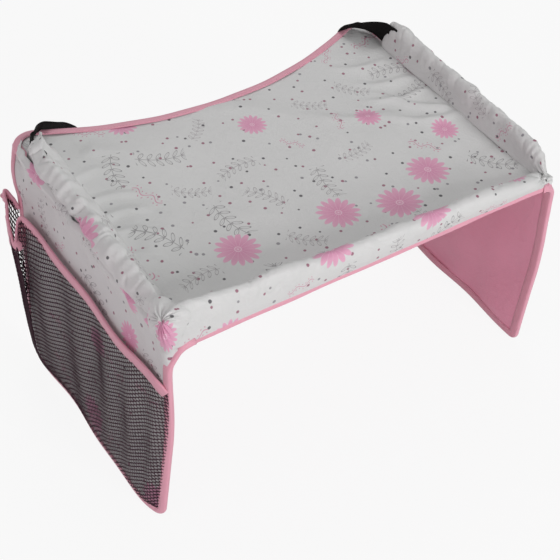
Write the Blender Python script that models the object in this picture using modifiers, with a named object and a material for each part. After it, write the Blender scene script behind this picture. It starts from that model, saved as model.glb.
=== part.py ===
"""Car seat tray table: a soft tray with three padded walls, two hanging side
flaps with net pockets, and a buckled webbing belt behind it.

Metres, +Z up. The origin is the centre of the tray's underside, -Y is the
front edge, and +Y is the hollowed edge that fits round the child.
"""

import math

import bmesh
import bpy
from mathutils import Vector
from mathutils.geometry import interpolate_bezier

# Tray
TRAY_WIDTH = 0.420
TRAY_DEPTH = 0.308
CORNER_RADIUS = 0.020
HOLLOW_RADIUS = 0.400
CORNER_STEPS = 7
HOLLOW_STEPS = 26
SHARP_ANGLE = math.radians(40)

# Cloth, board and padding
CLEARANCE = 0.0003
CLOTH_THICKNESS = 0.0008
BOARD_THICKNESS = 0.0015
PADDING_THICKNESS = 0.0020
TAPE_THICKNESS = 0.0008
TAPE_WIDTH = 0.0080
BOARD_INSET = 0.0110

# Padded walls
WALL_THICKNESS = 0.018
WALL_HEIGHT = 0.042
WALL_SETBACK = 0.052
WALL_PUFF = 0.0016
WALL_PUFF_SPACING = 0.047
WALL_PUFF_MEAN_SHARE = 0.55
WALL_PUFF_LOW_SHARE = 0.25
WALL_PUFF_GROWTH = 1.2
WALL_ROUNDNESS = 3.4
WALL_SECTION_STEPS = 18
WALL_LENGTH_STEPS = 22
FOAM_THICKNESS = 0.0095
FOAM_HEIGHT = 0.033
FOAM_ROUNDING = 0.0035
FOAM_END_SETBACK = 0.017

# Gathered front corners
GATHER_HEIGHT = 0.0395
GATHER_KNOT_HEIGHT = 0.021
GATHER_PLEATS = 8
GATHER_STEPS = 32
GATHER_RINGS = 10
GATHER_WAIST_SHARE = 0.84
GATHER_PLEAT_SHARE = 0.06
GATHER_TOP_SHARE = 0.96
GATHER_TOP_POWER = 8
GATHER_ROUNDNESS = 4.5

# Side flaps
FLAP_DROP = 0.2240
FLAP_LENGTH = 0.249
FLAP_FRONT_SETBACK = 0.001
FLAP_CORNER_RADIUS = 0.013
FLAP_CORNER_STEPS = 5
FLAP_CLOTH_THICKNESS = 0.0006
FLAP_STIFFENER_THICKNESS = 0.0015
FLAP_STIFFENER_INSET = 0.0095
FLAP_TOP_GAP = 0.0007
FLAP_TAPE_TOP_GAP = 0.0014
HINGE_DROP = 0.0040
LEFT_FLAP_SPLAY = math.radians(4.5)
RIGHT_FLAP_SPLAY = math.radians(2.9)

# Net pockets
POCKET_MOUTH_DROP = 0.046
POCKET_SLACK = 0.006
POCKET_SLACK_POWER = 0.35
POCKET_BULGE = 0.026
POCKET_BULGE_BACK_POWER = 3.2
POCKET_HANG_POWER = 0.6
POCKET_FOLD = 0.0025
POCKET_FOLDS = 3
POCKET_STRAND = 0.0012
POCKET_CORNER_SHARE = 0.6
POCKET_CORNER_POWER = 30
POCKET_COLUMNS = 13
POCKET_ROWS = 11
MOUTH_TAPE_WIDTH = 0.0075
MOUTH_TAPE_THICKNESS = 0.0022

# Belt
WEBBING_WIDTH = 0.025
WEBBING_THICKNESS = 0.0014
WEBBING_GAP = 0.0004
WEBBING_EXIT_HEIGHT = 0.0220
WEBBING_EXIT_INBOARD = 0.0085
WEBBING_STEPS = 3
TURN_STEPS = 4
HANDLE_SHARE = 1 / 3
SEWN_RAMP = 0.006
SEWN_END = 0.034
FREE_TAIL = 0.062
TAIL_SAG = 0.009
STRAIGHT_END = 0.018

# The belt's way over each back corner, as inboard, back and up from the corner,
# with the way that its width lies
LEFT_CORNER_RUN = (
    ((0.0070, -0.0490, 0.0222), (0.00, 0.00, 1.00)),
    ((0.0080, -0.0360, 0.0218), (0.08, -0.08, 1.00)),
    ((0.0142, -0.0275, 0.0210), (0.06, -0.44, 0.90)),
    ((0.0200, -0.0185, 0.0195), (0.00, -0.62, 0.78)),
    ((0.0245, -0.0125, 0.0167), (-0.12, -0.83, 0.54)),
    ((0.0305, -0.0080, 0.0145), (-0.12, -0.87, 0.48)),
    ((0.0375, -0.0023, 0.0085), (-0.21, -0.74, 0.64)),
    ((0.0440, 0.0010, 0.0022), (-0.16, -0.53, 0.83)),
    ((0.0510, 0.0010, -0.0005), (-0.14, -0.50, 0.85)),
    ((0.0590, 0.0005, -0.0035), (-0.14, -0.50, 0.85)),
    ((0.0655, 0.0005, -0.0085), (-0.12, -0.50, 0.85)),
    ((0.0710, 0.0015, -0.0140), (-0.10, -0.55, 0.80)),
    ((0.0800, 0.0050, -0.0300), (-0.10, -0.70, 0.70)),
)
RIGHT_CORNER_RUN = (
    ((0.0100, -0.0500, 0.0215), (0.00, 0.00, 1.00)),
    ((0.0123, -0.0375, 0.0198), (-0.35, -0.12, 0.93)),
    ((0.0172, -0.0258, 0.0174), (-0.66, -0.18, 0.73)),
    ((0.0230, -0.0185, 0.0172), (-0.47, -0.52, 0.71)),
    ((0.0278, -0.0125, 0.0150), (-0.40, -0.73, 0.55)),
    ((0.0330, -0.0085, 0.0128), (-0.31, -0.86, 0.41)),
    ((0.0365, -0.0015, 0.0070), (-0.28, -0.72, 0.63)),
    ((0.0400, 0.0030, -0.0040), (-0.25, -0.45, 0.85)),
    ((0.0430, 0.0050, -0.0140), (-0.20, -0.40, 0.90)),
    ((0.0490, 0.0070, -0.0300), (-0.10, -0.60, 0.80)),
    ((0.0580, 0.0100, -0.0480), (-0.05, -0.90, 0.40)),
)
DROP_SHARES = ((0.18, 0.48), (0.44, 0.82), (0.73, 0.985))
TAIL_SHARES = ((0.25, 0.05), (0.6, 0.35), (1.0, 1.0))

# Buckle: lengths run from the face where its halves meet, which is at X = 0
BUCKLE_BACK = 0.170
BUCKLE_DROP = 0.100
BUCKLE_WIDTH = 0.034
BUCKLE_THICKNESS = 0.0095
BUCKLE_WALL = 0.0016
BUCKLE_EDGE = 0.0010
BUCKLE_CLEARANCE = 0.0004
SOCKET_LENGTH = 0.0225
COLLAR_LENGTH = 0.0045
SLOT_LENGTH = 0.0060
SLOT_WIDTH = 0.0262
BAR_LENGTH = 0.0030
BAR_THICKNESS = 0.0024
BAR_ROUNDING = 0.0009
TONGUE_WIDTH = 0.0060
TONGUE_LENGTH = 0.0150
CORE_THICKNESS = 0.0052
PRONG_LENGTH = 0.0155
PRONG_WIDTH = 0.0036
PRONG_SPREAD = 0.0098
PRONG_TIP_SHARE = 0.55
HOOK_START = 0.0085
HOOK_LENGTH = 0.0045
HOOK_PROUD = 0.0007
WINDOW_CLEARANCE = 0.0018
CUT_OVERRUN = 0.0040

HALF_WIDTH = TRAY_WIDTH / 2
HALF_DEPTH = TRAY_DEPTH / 2
CORNER_CENTRE_X = HALF_WIDTH - CORNER_RADIUS
CORNER_CENTRE_Y = HALF_DEPTH - CORNER_RADIUS
HOLLOW_CENTRE_Y = CORNER_CENTRE_Y + math.sqrt(
    (HOLLOW_RADIUS + CORNER_RADIUS) ** 2 - CORNER_CENTRE_X**2
)
WALL_END_Y = HALF_DEPTH - WALL_SETBACK
WALL_INNER_X = HALF_WIDTH - WALL_THICKNESS
FRONT_FACE_Y = -HALF_DEPTH + TAPE_THICKNESS + CLEARANCE
FRONT_INNER_Y = FRONT_FACE_Y + WALL_THICKNESS

LINING_TOP = CLOTH_THICKNESS
BOARD_BASE = LINING_TOP + CLEARANCE
PADDING_BASE = BOARD_BASE + BOARD_THICKNESS + CLEARANCE
COVER_BASE = PADDING_BASE + PADDING_THICKNESS + CLEARANCE
COVER_TOP = COVER_BASE + CLOTH_THICKNESS

FLAP_FRONT_Y = -HALF_DEPTH + FLAP_FRONT_SETBACK
FLAP_BACK_Y = FLAP_FRONT_Y + FLAP_LENGTH
FLAP_STACK = 2 * (FLAP_CLOTH_THICKNESS + CLEARANCE) + FLAP_STIFFENER_THICKNESS
FLAP_CENTRE_X = HALF_WIDTH - FLAP_STACK / 2
FLAP_INNER_X = FLAP_CENTRE_X - FLAP_STACK / 2 - CLEARANCE - TAPE_THICKNESS

LADDER_BAR = COLLAR_LENGTH + SLOT_LENGTH
LADDER_END = LADDER_BAR + SLOT_LENGTH + 2 * BAR_LENGTH
SOCKET_BAR = SOCKET_LENGTH + SLOT_LENGTH
TURN_RADIUS = BAR_THICKNESS / 2 + CLEARANCE + WEBBING_THICKNESS / 2
WEBBING_LAP = WEBBING_THICKNESS + WEBBING_GAP
PRONG_ROOT = CLEARANCE + PRONG_WIDTH / 2


def clear_scene():
    for item in list(bpy.data.objects):
        bpy.data.objects.remove(item, do_unlink=True)


def new_collection(name):
    collection = bpy.data.collections.new(name)
    bpy.context.scene.collection.children.link(collection)
    return collection


def new_material(name, colour, roughness):
    material = bpy.data.materials.new(name)
    material.use_nodes = True
    shader = material.node_tree.nodes["Principled BSDF"]
    shader.inputs["Base Color"].default_value = (*colour, 1.0)
    shader.inputs["Roughness"].default_value = roughness
    shader.inputs["Metallic"].default_value = 0.0
    return material


def add_object(name, data, parts, material):
    item = bpy.data.objects.new(name, data)
    parts.objects.link(item)
    data.materials.append(material)
    return item


def shaped_grid(columns, rows, place, wrap=False):
    """A grid with each point moved to place(u, v), where u runs along it and
    v across it, both from 0 to 1. wrap joins its first row to its last."""
    mesh = bmesh.new()
    bmesh.ops.create_grid(mesh, x_segments=columns, y_segments=rows, size=0.5)
    for vertex in mesh.verts:
        vertex.co = Vector(place(vertex.co.x + 0.5, vertex.co.y + 0.5))
    if wrap:
        bmesh.ops.remove_doubles(mesh, verts=mesh.verts, dist=CLEARANCE / 10)
    return mesh


def mesh_object(name, mesh, parts, material):
    """A mesh as an object, shaded smooth where its faces meet at a low angle."""
    bmesh.ops.recalc_face_normals(mesh, faces=mesh.faces)
    data = bpy.data.meshes.new(name)
    mesh.to_mesh(data)
    mesh.free()
    data.shade_smooth()
    data.set_sharp_from_angle(angle=SHARP_ANGLE)
    return add_object(name, data, parts, material)


def solidify(item, thickness, offset=0.0):
    modifier = item.modifiers.new("Solidify", "SOLIDIFY")
    modifier.thickness = thickness
    modifier.offset = offset
    modifier.use_even_offset = True
    return modifier


def bevel(item, width, segments=2):
    modifier = item.modifiers.new("Bevel", "BEVEL")
    modifier.width = width
    modifier.segments = segments
    modifier.limit_method = "ANGLE"


def flat_piece(name, outline, base, thickness, parts, material):
    """A flat outline in X and Y, from base upwards by thickness."""
    curve = bpy.data.curves.new(name, "CURVE")
    curve.dimensions = "2D"
    curve.fill_mode = "BOTH"
    curve.extrude = thickness / 2
    spline = curve.splines.new("POLY")
    spline.points.add(len(outline) - 1)
    for point, (x, y) in zip(spline.points, outline):
        point.co = (x, y, 0, 1)
    spline.use_cyclic_u = True
    item = add_object(name, curve, parts, material)
    item.location.z = base + thickness / 2
    return item


def box(name, low, high, parts, material):
    """A box between two corners, with its origin at its centre."""
    mesh = bmesh.new()
    bmesh.ops.create_cube(mesh, size=1)
    size = Vector(high) - Vector(low)
    bmesh.ops.scale(mesh, vec=size, verts=mesh.verts)
    item = mesh_object(name, mesh, parts, material)
    item.location = (Vector(high) + Vector(low)) / 2
    return item


def boolean(item, other, operation, cutters):
    """Cuts item with other, or joins other to it."""
    for holder in list(other.users_collection):
        holder.objects.unlink(other)
    cutters.objects.link(other)
    other.hide_render = True
    other.display_type = "WIRE"
    modifier = item.modifiers.new(other.name, "BOOLEAN")
    modifier.operation = operation
    modifier.object = other
    modifier.solver = "EXACT"


def arc(centre_x, centre_y, radius, start, end, steps):
    """Points on an arc, in X and Y, from one angle to another."""
    points = []
    for step in range(steps + 1):
        angle = start + (end - start) * step / steps
        points.append((centre_x + radius * math.cos(angle), centre_y + radius * math.sin(angle)))
    return points


def back_edge(inset):
    """The tray's edge from the right side, round the back corner, along the
    hollow and round the left corner, set inwards by inset."""
    meet = math.atan2(HOLLOW_CENTRE_Y - CORNER_CENTRE_Y, -CORNER_CENTRE_X)
    right = arc(CORNER_CENTRE_X, CORNER_CENTRE_Y, CORNER_RADIUS - inset, 0, meet, CORNER_STEPS)
    hollow = arc(0, HOLLOW_CENTRE_Y, HOLLOW_RADIUS + inset, meet - math.pi, -meet, HOLLOW_STEPS)
    left = [(-x, y) for x, y in reversed(right)]
    return right + hollow[1:-1] + left


def tray_outline(front_y, side_x, step_y, back_inset):
    """A layer of the tray: side_x is its half width in front of step_y."""
    back = back_edge(back_inset)
    right = [(side_x, front_y), (side_x, step_y), (back[0][0], step_y)]
    left = [(-x, y) for x, y in reversed(right)]
    return right + back + left


def tray_floor(parts, looks):
    """The lining, board, padding and cover that make up the tray's floor."""
    edge = TAPE_THICKNESS + CLEARANCE
    leg = TAPE_WIDTH + CLEARANCE
    side = WALL_INNER_X - CLEARANCE
    front = FRONT_INNER_Y + CLEARANCE
    step = WALL_END_Y + CLEARANCE
    lining = tray_outline(-HALF_DEPTH + leg, FLAP_INNER_X - CLEARANCE, step, leg)
    flat_piece("base_lining", lining, 0, CLOTH_THICKNESS, parts, looks["satin"])
    board = tray_outline(front, side, step, BOARD_INSET)
    flat_piece("base_board", board, BOARD_BASE, BOARD_THICKNESS, parts, looks["board"])
    flat_piece("floor_padding", board, PADDING_BASE, PADDING_THICKNESS, parts, looks["foam"])
    cover = tray_outline(front, side, step, edge)
    flat_piece("floor_cover", cover, COVER_BASE, CLOTH_THICKNESS, parts, looks["print"])


def wall_section(share, puff):
    """A point of a padded wall's section, across it and up it, both measured
    from the middle of its foot. The top is rounded, the foot is nearly flat."""
    angle = 2 * math.pi * share
    power = 2 / WALL_ROUNDNESS
    across = math.copysign(abs(math.cos(angle)) ** power, math.cos(angle))
    up = math.copysign(abs(math.sin(angle)) ** power, math.sin(angle))
    height = WALL_HEIGHT - BOARD_BASE
    rise = (up + 1) / 2
    swell = puff * max(0, rise - WALL_PUFF_LOW_SHARE) * WALL_PUFF_GROWTH
    return across * (WALL_THICKNESS / 2 + swell), height * rise + swell


def wall_puff(along, length):
    """How far the padding stands out at a place along a wall: it puffs
    between its tacks and draws in at both ends."""
    tacks = max(2, round(length / WALL_PUFF_SPACING))
    wave = math.cos(2 * math.pi * tacks * along)
    return -WALL_PUFF * (WALL_PUFF_MEAN_SHARE + (1 - WALL_PUFF_MEAN_SHARE) * wave)


def side_wall(side, name, parts, looks):
    """The foam and the sleeve of a side wall. The sleeve's back end is open."""
    start = FRONT_INNER_Y + CLEARANCE
    length = WALL_END_Y - start
    centre = side * (HALF_WIDTH - WALL_THICKNESS / 2)

    def place(u, v):
        across, up = wall_section(v, wall_puff(u, length))
        return centre + across, start + length * u, BOARD_BASE + up

    sleeve = shaped_grid(WALL_LENGTH_STEPS, WALL_SECTION_STEPS, place, wrap=True)
    cover = mesh_object(f"{name}_wall_cover", sleeve, parts, looks["print"])
    solidify(cover, CLOTH_THICKNESS, offset=-1)
    foot = BOARD_BASE + CLOTH_THICKNESS + CLEARANCE
    low = (centre - FOAM_THICKNESS / 2, start + CLEARANCE, foot)
    high = (centre + FOAM_THICKNESS / 2, WALL_END_Y - FOAM_END_SETBACK, foot + FOAM_HEIGHT)
    foam = box(f"{name}_wall_foam", low, high, parts, looks["foam"])
    bevel(foam, FOAM_ROUNDING)


def front_wall(parts, looks):
    """The foam and the sleeve of the front wall, between the gathers."""
    half = WALL_INNER_X - CLEARANCE
    centre = FRONT_FACE_Y + WALL_THICKNESS / 2

    def place(u, v):
        across, up = wall_section(v, wall_puff(u, 2 * half))
        return half * (2 * u - 1), centre - across, BOARD_BASE + up

    sleeve = shaped_grid(WALL_LENGTH_STEPS, WALL_SECTION_STEPS, place, wrap=True)
    cover = mesh_object("front_wall_cover", sleeve, parts, looks["print"])
    solidify(cover, CLOTH_THICKNESS, offset=-1)
    foot = BOARD_BASE + CLOTH_THICKNESS + CLEARANCE
    low = (CLEARANCE - half, centre - FOAM_THICKNESS / 2, foot)
    high = (half - CLEARANCE, centre + FOAM_THICKNESS / 2, foot + FOAM_HEIGHT)
    foam = box("front_wall_foam", low, high, parts, looks["foam"])
    bevel(foam, FOAM_ROUNDING)


def gather_scale(rise):
    """The width of a gathered corner at a share of its height."""
    knot = GATHER_KNOT_HEIGHT / GATHER_HEIGHT
    spread = abs(rise - knot) / max(knot, 1 - knot)
    body = GATHER_WAIST_SHARE + (1 - GATHER_WAIST_SHARE) * math.sin(spread * math.pi / 2)
    return body * math.sqrt(1 - (rise * GATHER_TOP_SHARE) ** GATHER_TOP_POWER)


def corner_gather(side, name, parts, looks):
    """The tacked tuck that joins two walls: pleats run to a knot at its waist."""
    centre = Vector((side * (HALF_WIDTH - WALL_THICKNESS / 2), FRONT_FACE_Y + WALL_THICKNESS / 2, 0))
    radius = WALL_THICKNESS / 2 - CLEARANCE
    power = 2 / GATHER_ROUNDNESS

    def place(u, v):
        angle = 2 * math.pi * v
        pleat = 1 - GATHER_PLEAT_SHARE * (1 - math.cos(GATHER_PLEATS * angle)) / 2
        reach = radius * gather_scale(u) * pleat
        x = math.copysign(abs(math.cos(angle)) ** power, math.cos(angle)) * reach
        y = math.copysign(abs(math.sin(angle)) ** power, math.sin(angle)) * reach
        return centre.x + x, centre.y + y, BOARD_BASE + GATHER_HEIGHT * u

    mesh = shaped_grid(GATHER_RINGS, GATHER_STEPS, place, wrap=True)
    bmesh.ops.holes_fill(mesh, edges=mesh.edges)
    mesh_object(f"front_{name}_corner_gather", mesh, parts, looks["print"])


def folded_tape(name, stations, thickness, parts, material):
    """A tape that lies along stations, each a row of points across it. The
    points are the tape's middle, and its thickness is added on both sides."""
    last = len(stations) - 1
    across = len(stations[0]) - 1

    def place(u, v):
        return stations[round(u * last)][round(v * across)]

    tape = mesh_object(name, shaped_grid(last, across, place), parts, material)
    solidify(tape, thickness)


def tray_tapes(parts, looks):
    """The folded tapes that bind the hollowed back edge and the front edge."""
    half = TAPE_THICKNESS / 2
    low = half
    high = COVER_TOP + CLEARANCE + half
    outer = back_edge(half)
    inner = back_edge(TAPE_WIDTH - half)
    stations = []
    side_start = WALL_END_Y + 2 * CLEARANCE + half
    for reach, path in ((outer, outer), (inner, inner)):
        path.insert(0, (reach[0][0], side_start))
        path.append((reach[-1][0], side_start))
    for out, within in zip(outer, inner):
        stations.append([(*within, high), (*out, high), (*out, low), (*within, low)])
    folded_tape("back_edge_binding", stations, TAPE_THICKNESS, parts, looks["tape"])
    face = -HALF_DEPTH + half
    stations = []
    for x in (-HALF_WIDTH, 0, HALF_WIDTH):
        stations.append([(x, face, TAPE_WIDTH), (x, face, low), (x, face + TAPE_WIDTH - half, low)])
    folded_tape("front_edge_binding", stations, TAPE_THICKNESS, parts, looks["tape"])


def flap_edge(inset):
    """A flap's front, bottom and back edges in Y and Z, set inwards by inset."""
    radius = FLAP_CORNER_RADIUS - inset
    low = FLAP_CORNER_RADIUS - FLAP_DROP
    front = FLAP_FRONT_Y + FLAP_CORNER_RADIUS
    back = FLAP_BACK_Y - FLAP_CORNER_RADIUS
    first = arc(front, low, radius, math.pi, 1.5 * math.pi, FLAP_CORNER_STEPS)
    second = arc(back, low, radius, 1.5 * math.pi, 2 * math.pi, FLAP_CORNER_STEPS)
    return first + second


def hang(item, holder, offset=0):
    """Hangs a piece made in the tray's frame, but centred on a flap, from its hinge."""
    item.parent = holder
    item.location = (offset, 0, HINGE_DROP)


def flap_layer(name, middle, thickness, inset, holder, parts, material):
    """One layer of a flap, whose middle lies at a distance from the flap's own middle."""
    edge = inset + TAPE_THICKNESS + CLEARANCE
    top = -FLAP_TOP_GAP - inset
    outline = [(FLAP_FRONT_Y + edge, top)] + flap_edge(edge) + [(FLAP_BACK_Y - edge, top)]
    layer = flat_piece(name, outline, 0, thickness, parts, material)
    layer.rotation_euler = (math.pi / 2, 0, math.pi / 2)
    hang(layer, holder, middle)


def flap_tape(name, holder, parts, looks):
    """The tape folded round a flap's front, bottom and back edges."""
    half = TAPE_THICKNESS / 2
    reach = FLAP_STACK / 2 + CLEARANCE + half
    paths = []
    for inset in (half, TAPE_WIDTH - half):
        ends = (FLAP_FRONT_Y + inset, -FLAP_TAPE_TOP_GAP), (FLAP_BACK_Y - inset, -FLAP_TAPE_TOP_GAP)
        paths.append([ends[0]] + flap_edge(inset) + [ends[1]])
    stations = []
    for out, within in zip(*paths):
        stations.append([(-reach, *within), (-reach, *out), (reach, *out), (reach, *within)])
    folded_tape(f"{name}_flap_binding", stations, TAPE_THICKNESS, parts, looks["tape"])
    hang(parts.objects[f"{name}_flap_binding"], holder)


def pocket_stand(along, down):
    """How far a pocket's cloth stands off its flap, at shares of its length
    from the front and of its height from the mouth. It is slack all along its
    mouth, with soft folds, and fullest near the back."""
    ends = math.sin(math.pi * along) ** POCKET_SLACK_POWER
    full = math.sin(math.pi * along**POCKET_BULGE_BACK_POWER)
    fold = POCKET_FOLD * math.sin(2 * math.pi * POCKET_FOLDS * along)
    hang = math.cos(math.pi / 2 * down) ** POCKET_HANG_POWER
    return hang * (POCKET_SLACK * ends + POCKET_BULGE * full + fold * ends)


def pocket(side, name, holder, parts, looks):
    """The net of a flap's pocket, and the tape that binds its mouth."""
    seat = FLAP_STACK / 2 + CLEARANCE
    clear = TAPE_WIDTH + CLEARANCE
    border = clear + POCKET_STRAND / 2
    mouth = -POCKET_MOUTH_DROP - MOUTH_TAPE_WIDTH - CLEARANCE - POCKET_STRAND / 2
    height = mouth + FLAP_DROP - border
    middle = FLAP_FRONT_Y + FLAP_LENGTH / 2
    corner = (FLAP_CORNER_RADIUS - TAPE_WIDTH) * POCKET_CORNER_SHARE

    def net_place(u, v):
        stand = side * (seat + POCKET_STRAND / 2 + pocket_stand(u, v))
        half = FLAP_LENGTH / 2 - border - corner * v**POCKET_CORNER_POWER
        return stand, middle + half * (2 * u - 1), mouth - height * v

    net = shaped_grid(POCKET_COLUMNS, POCKET_ROWS, net_place)
    item = mesh_object(f"{name}_pocket_net", net, parts, looks["net"])
    hang(item, holder)
    wire = item.modifiers.new("Wireframe", "WIREFRAME")
    wire.thickness = POCKET_STRAND
    wire.use_even_offset = False
    wire.use_boundary = True

    def tape_place(u, v):
        stand = side * (seat + MOUTH_TAPE_THICKNESS / 2 + pocket_stand(u, 0))
        along = FLAP_FRONT_Y + clear + (FLAP_LENGTH - 2 * clear) * u
        return stand, along, -POCKET_MOUTH_DROP - MOUTH_TAPE_WIDTH * v

    strip = shaped_grid(2 * POCKET_COLUMNS, 1, tape_place)
    tape = mesh_object(f"{name}_pocket_mouth_tape", strip, parts, looks["tape"])
    hang(tape, holder)
    solidify(tape, MOUTH_TAPE_THICKNESS)


def side_flap(side, name, splay, parts, looks):
    """A hanging flap: lining, stiffener, printed face, edge tape and pocket.
    splay turns its foot outwards."""
    holder = bpy.data.objects.new(f"{name}_flap_hinge", None)
    parts.objects.link(holder)
    holder.location = (side * FLAP_CENTRE_X, 0, -HINGE_DROP)
    holder.rotation_euler.y = -side * splay
    half = FLAP_STIFFENER_THICKNESS / 2
    skin = half + CLEARANCE
    layers = (
        ("flap_lining", -skin - FLAP_CLOTH_THICKNESS, FLAP_CLOTH_THICKNESS, 0, "satin"),
        ("flap_stiffener", -half, FLAP_STIFFENER_THICKNESS, FLAP_STIFFENER_INSET, "board"),
        ("flap_cover", skin, FLAP_CLOTH_THICKNESS, 0, "print"),
    )
    for piece, offset, thickness, inset, look in layers:
        middle = side * (offset + thickness / 2)
        flap_layer(f"{name}_{piece}", middle, thickness, inset, holder, parts, looks[look])
    flap_tape(name, holder, parts, looks)
    pocket(side, name, holder, parts, looks)


def smooth(points, steps):
    """The points of a smooth curve through points, with steps in each stretch."""
    last = len(points) - 1
    line = [points[0]]
    for i in range(last):
        start, end = points[i], points[i + 1]
        reach = (end - start).length * HANDLE_SHARE
        leave = (end - points[max(i - 1, 0)]).normalized() * reach
        arrive = (points[min(i + 2, last)] - start).normalized() * reach
        line += interpolate_bezier(start, start + leave, end - arrive, end, steps + 1)[1:]
    return line


def webbing(name, places, parts, looks):
    """A strap through places, each a middle point and the way its width lies."""
    line = smooth([point for point, way in places], WEBBING_STEPS)
    ways = smooth([way.normalized() for point, way in places], WEBBING_STEPS)
    stations = []
    for point, way in zip(line, ways):
        half = way.normalized() * WEBBING_WIDTH / 2
        stations.append([point - half, point + half])
    folded_tape(name, stations, WEBBING_THICKNESS, parts, looks["webbing"])


def corner_places(side, run):
    """A strap's places from its wall's foam, over the back corner, to its drop."""
    foam_end = WALL_END_Y - FOAM_END_SETBACK
    start = Vector((side * (HALF_WIDTH - WEBBING_EXIT_INBOARD), foam_end + CLEARANCE, WEBBING_EXIT_HEIGHT))
    places = [(start, Vector((0, 0, 1)))]
    for (inboard, back, up), way in run:
        point = Vector((side * (HALF_WIDTH - inboard), HALF_DEPTH + back, up))
        places.append((point, Vector(way)))
    return places


def belt_strap(side, name, run, end, parts, looks):
    """A strap from its wall to the buckle. end holds the places of its end at
    the buckle, as lengths from the buckle's face and heights from its middle."""
    across = Vector((0, -1, 0))
    places = corner_places(side, run)
    low = places[-1][0]
    landing = Vector((side * end[0][0], BUCKLE_BACK, end[0][1] - BUCKLE_DROP))
    for along, down in DROP_SHARES:
        point = low.lerp(landing, along)
        point.z = low.z + (landing.z - low.z) * down
        places.append((point, across))
    for length, height in end:
        places.append((Vector((side * length, BUCKLE_BACK, height - BUCKLE_DROP)), across))
    webbing(name, places, parts, looks)


def bar_turn(bar):
    """The places of webbing that turns back round a bar, over it and then under."""
    return arc(bar + BAR_THICKNESS / 2, 0, TURN_RADIUS, math.pi / 2, 1.5 * math.pi, TURN_STEPS)


def belt(parts, looks):
    """The two straps: the left one is sewn back round the socket's bar, and the
    right one is threaded through the plug's ladder and ends in a free tail."""
    top = TURN_RADIUS
    sewn = top - WEBBING_LAP
    socket_end = SOCKET_BAR + BAR_LENGTH
    end = [(socket_end + STRAIGHT_END, top)] + bar_turn(SOCKET_BAR)
    end += [(socket_end, -top), (socket_end + SEWN_RAMP, sewn), (socket_end + SEWN_END, sewn)]
    belt_strap(-1, "left_belt_strap", LEFT_CORNER_RUN, end, parts, looks)
    outer = LADDER_END - BAR_LENGTH
    inner = LADDER_BAR + BAR_LENGTH
    load = top + WEBBING_LAP
    end = [(LADDER_END + STRAIGHT_END, load), (outer, load)] + bar_turn(LADDER_BAR)
    end += [(inner, -top), (outer, top), (LADDER_END, top)]
    end += [(LADDER_END + FREE_TAIL * along, top - TAIL_SAG * down) for along, down in TAIL_SHARES]
    belt_strap(1, "right_belt_strap", RIGHT_CORNER_RUN, end, parts, looks)


def buckle_box(name, start, end, width, thickness, parts, looks):
    """A box of the buckle, from start to end along the belt."""
    low = (start, BUCKLE_BACK - width / 2, -BUCKLE_DROP - thickness / 2)
    high = (end, BUCKLE_BACK + width / 2, -BUCKLE_DROP + thickness / 2)
    return box(name, low, high, parts, looks["buckle"])


def strap_bars(item, starts, side, parts, cutters, looks):
    """Joins rounded bars for webbing to a buckle half, each at its start."""
    for i, start in enumerate(starts):
        ends = sorted((side * start, side * (start + BAR_LENGTH)))
        width = SLOT_WIDTH + 2 * BUCKLE_EDGE
        bar = buckle_box(f"{item.name}_bar_{i}", *ends, width, BAR_THICKNESS, parts, looks)
        bevel(bar, BAR_ROUNDING)
        boolean(item, bar, "UNION", cutters)


def buckle_socket(parts, cutters, looks):
    """The hollow half, with a window on each side for a prong's hook."""
    far = -SOCKET_BAR - BAR_LENGTH
    tall = BUCKLE_THICKNESS + CUT_OVERRUN
    wide = BUCKLE_WIDTH + CUT_OVERRUN
    socket = buckle_box(
        "buckle_socket", far, -BUCKLE_CLEARANCE, BUCKLE_WIDTH, BUCKLE_THICKNESS, parts, looks
    )
    bevel(socket, BUCKLE_EDGE)
    slot = buckle_box(
        "socket_slot", far - CUT_OVERRUN, -SOCKET_LENGTH, SLOT_WIDTH, tall, parts, looks
    )
    boolean(socket, slot, "DIFFERENCE", cutters)
    strap_bars(socket, [SOCKET_BAR], -1, parts, cutters, looks)
    room = BUCKLE_THICKNESS - 2 * BUCKLE_WALL
    deep = BUCKLE_WALL - SOCKET_LENGTH
    hollow = buckle_box(
        "socket_hollow", deep, CUT_OVERRUN, BUCKLE_WIDTH - 2 * BUCKLE_WALL, room, parts, looks
    )
    boolean(socket, hollow, "DIFFERENCE", cutters)
    near = -PRONG_ROOT - HOOK_START + BUCKLE_CLEARANCE
    end = -PRONG_ROOT - HOOK_START - HOOK_LENGTH - WINDOW_CLEARANCE
    height = CORE_THICKNESS + 2 * BUCKLE_CLEARANCE
    window = buckle_box("socket_windows", end, near, wide, height, parts, looks)
    boolean(socket, window, "DIFFERENCE", cutters)


def buckle_plug(parts, cutters, looks):
    """The solid half: a collar, a guide tongue, and a ladder for the webbing."""
    plug = buckle_box("buckle_plug", 0, COLLAR_LENGTH, BUCKLE_WIDTH, BUCKLE_THICKNESS, parts, looks)
    bevel(plug, BUCKLE_EDGE)
    middle = COLLAR_LENGTH / 2
    frame = buckle_box(
        "plug_frame", middle, LADDER_END, BUCKLE_WIDTH - BUCKLE_EDGE, CORE_THICKNESS, parts, looks
    )
    bevel(frame, BUCKLE_EDGE)
    boolean(plug, frame, "UNION", cutters)
    tongue = buckle_box(
        "plug_tongue", -TONGUE_LENGTH, middle, TONGUE_WIDTH, CORE_THICKNESS, parts, looks
    )
    bevel(tongue, BUCKLE_EDGE)
    boolean(plug, tongue, "UNION", cutters)
    slot = buckle_box(
        "plug_slot",
        COLLAR_LENGTH,
        LADDER_END + CUT_OVERRUN,
        SLOT_WIDTH,
        BUCKLE_THICKNESS + CUT_OVERRUN,
        parts,
        looks,
    )
    boolean(plug, slot, "DIFFERENCE", cutters)
    strap_bars(plug, [LADDER_BAR, LADDER_END - BAR_LENGTH], 1, parts, cutters, looks)


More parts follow.
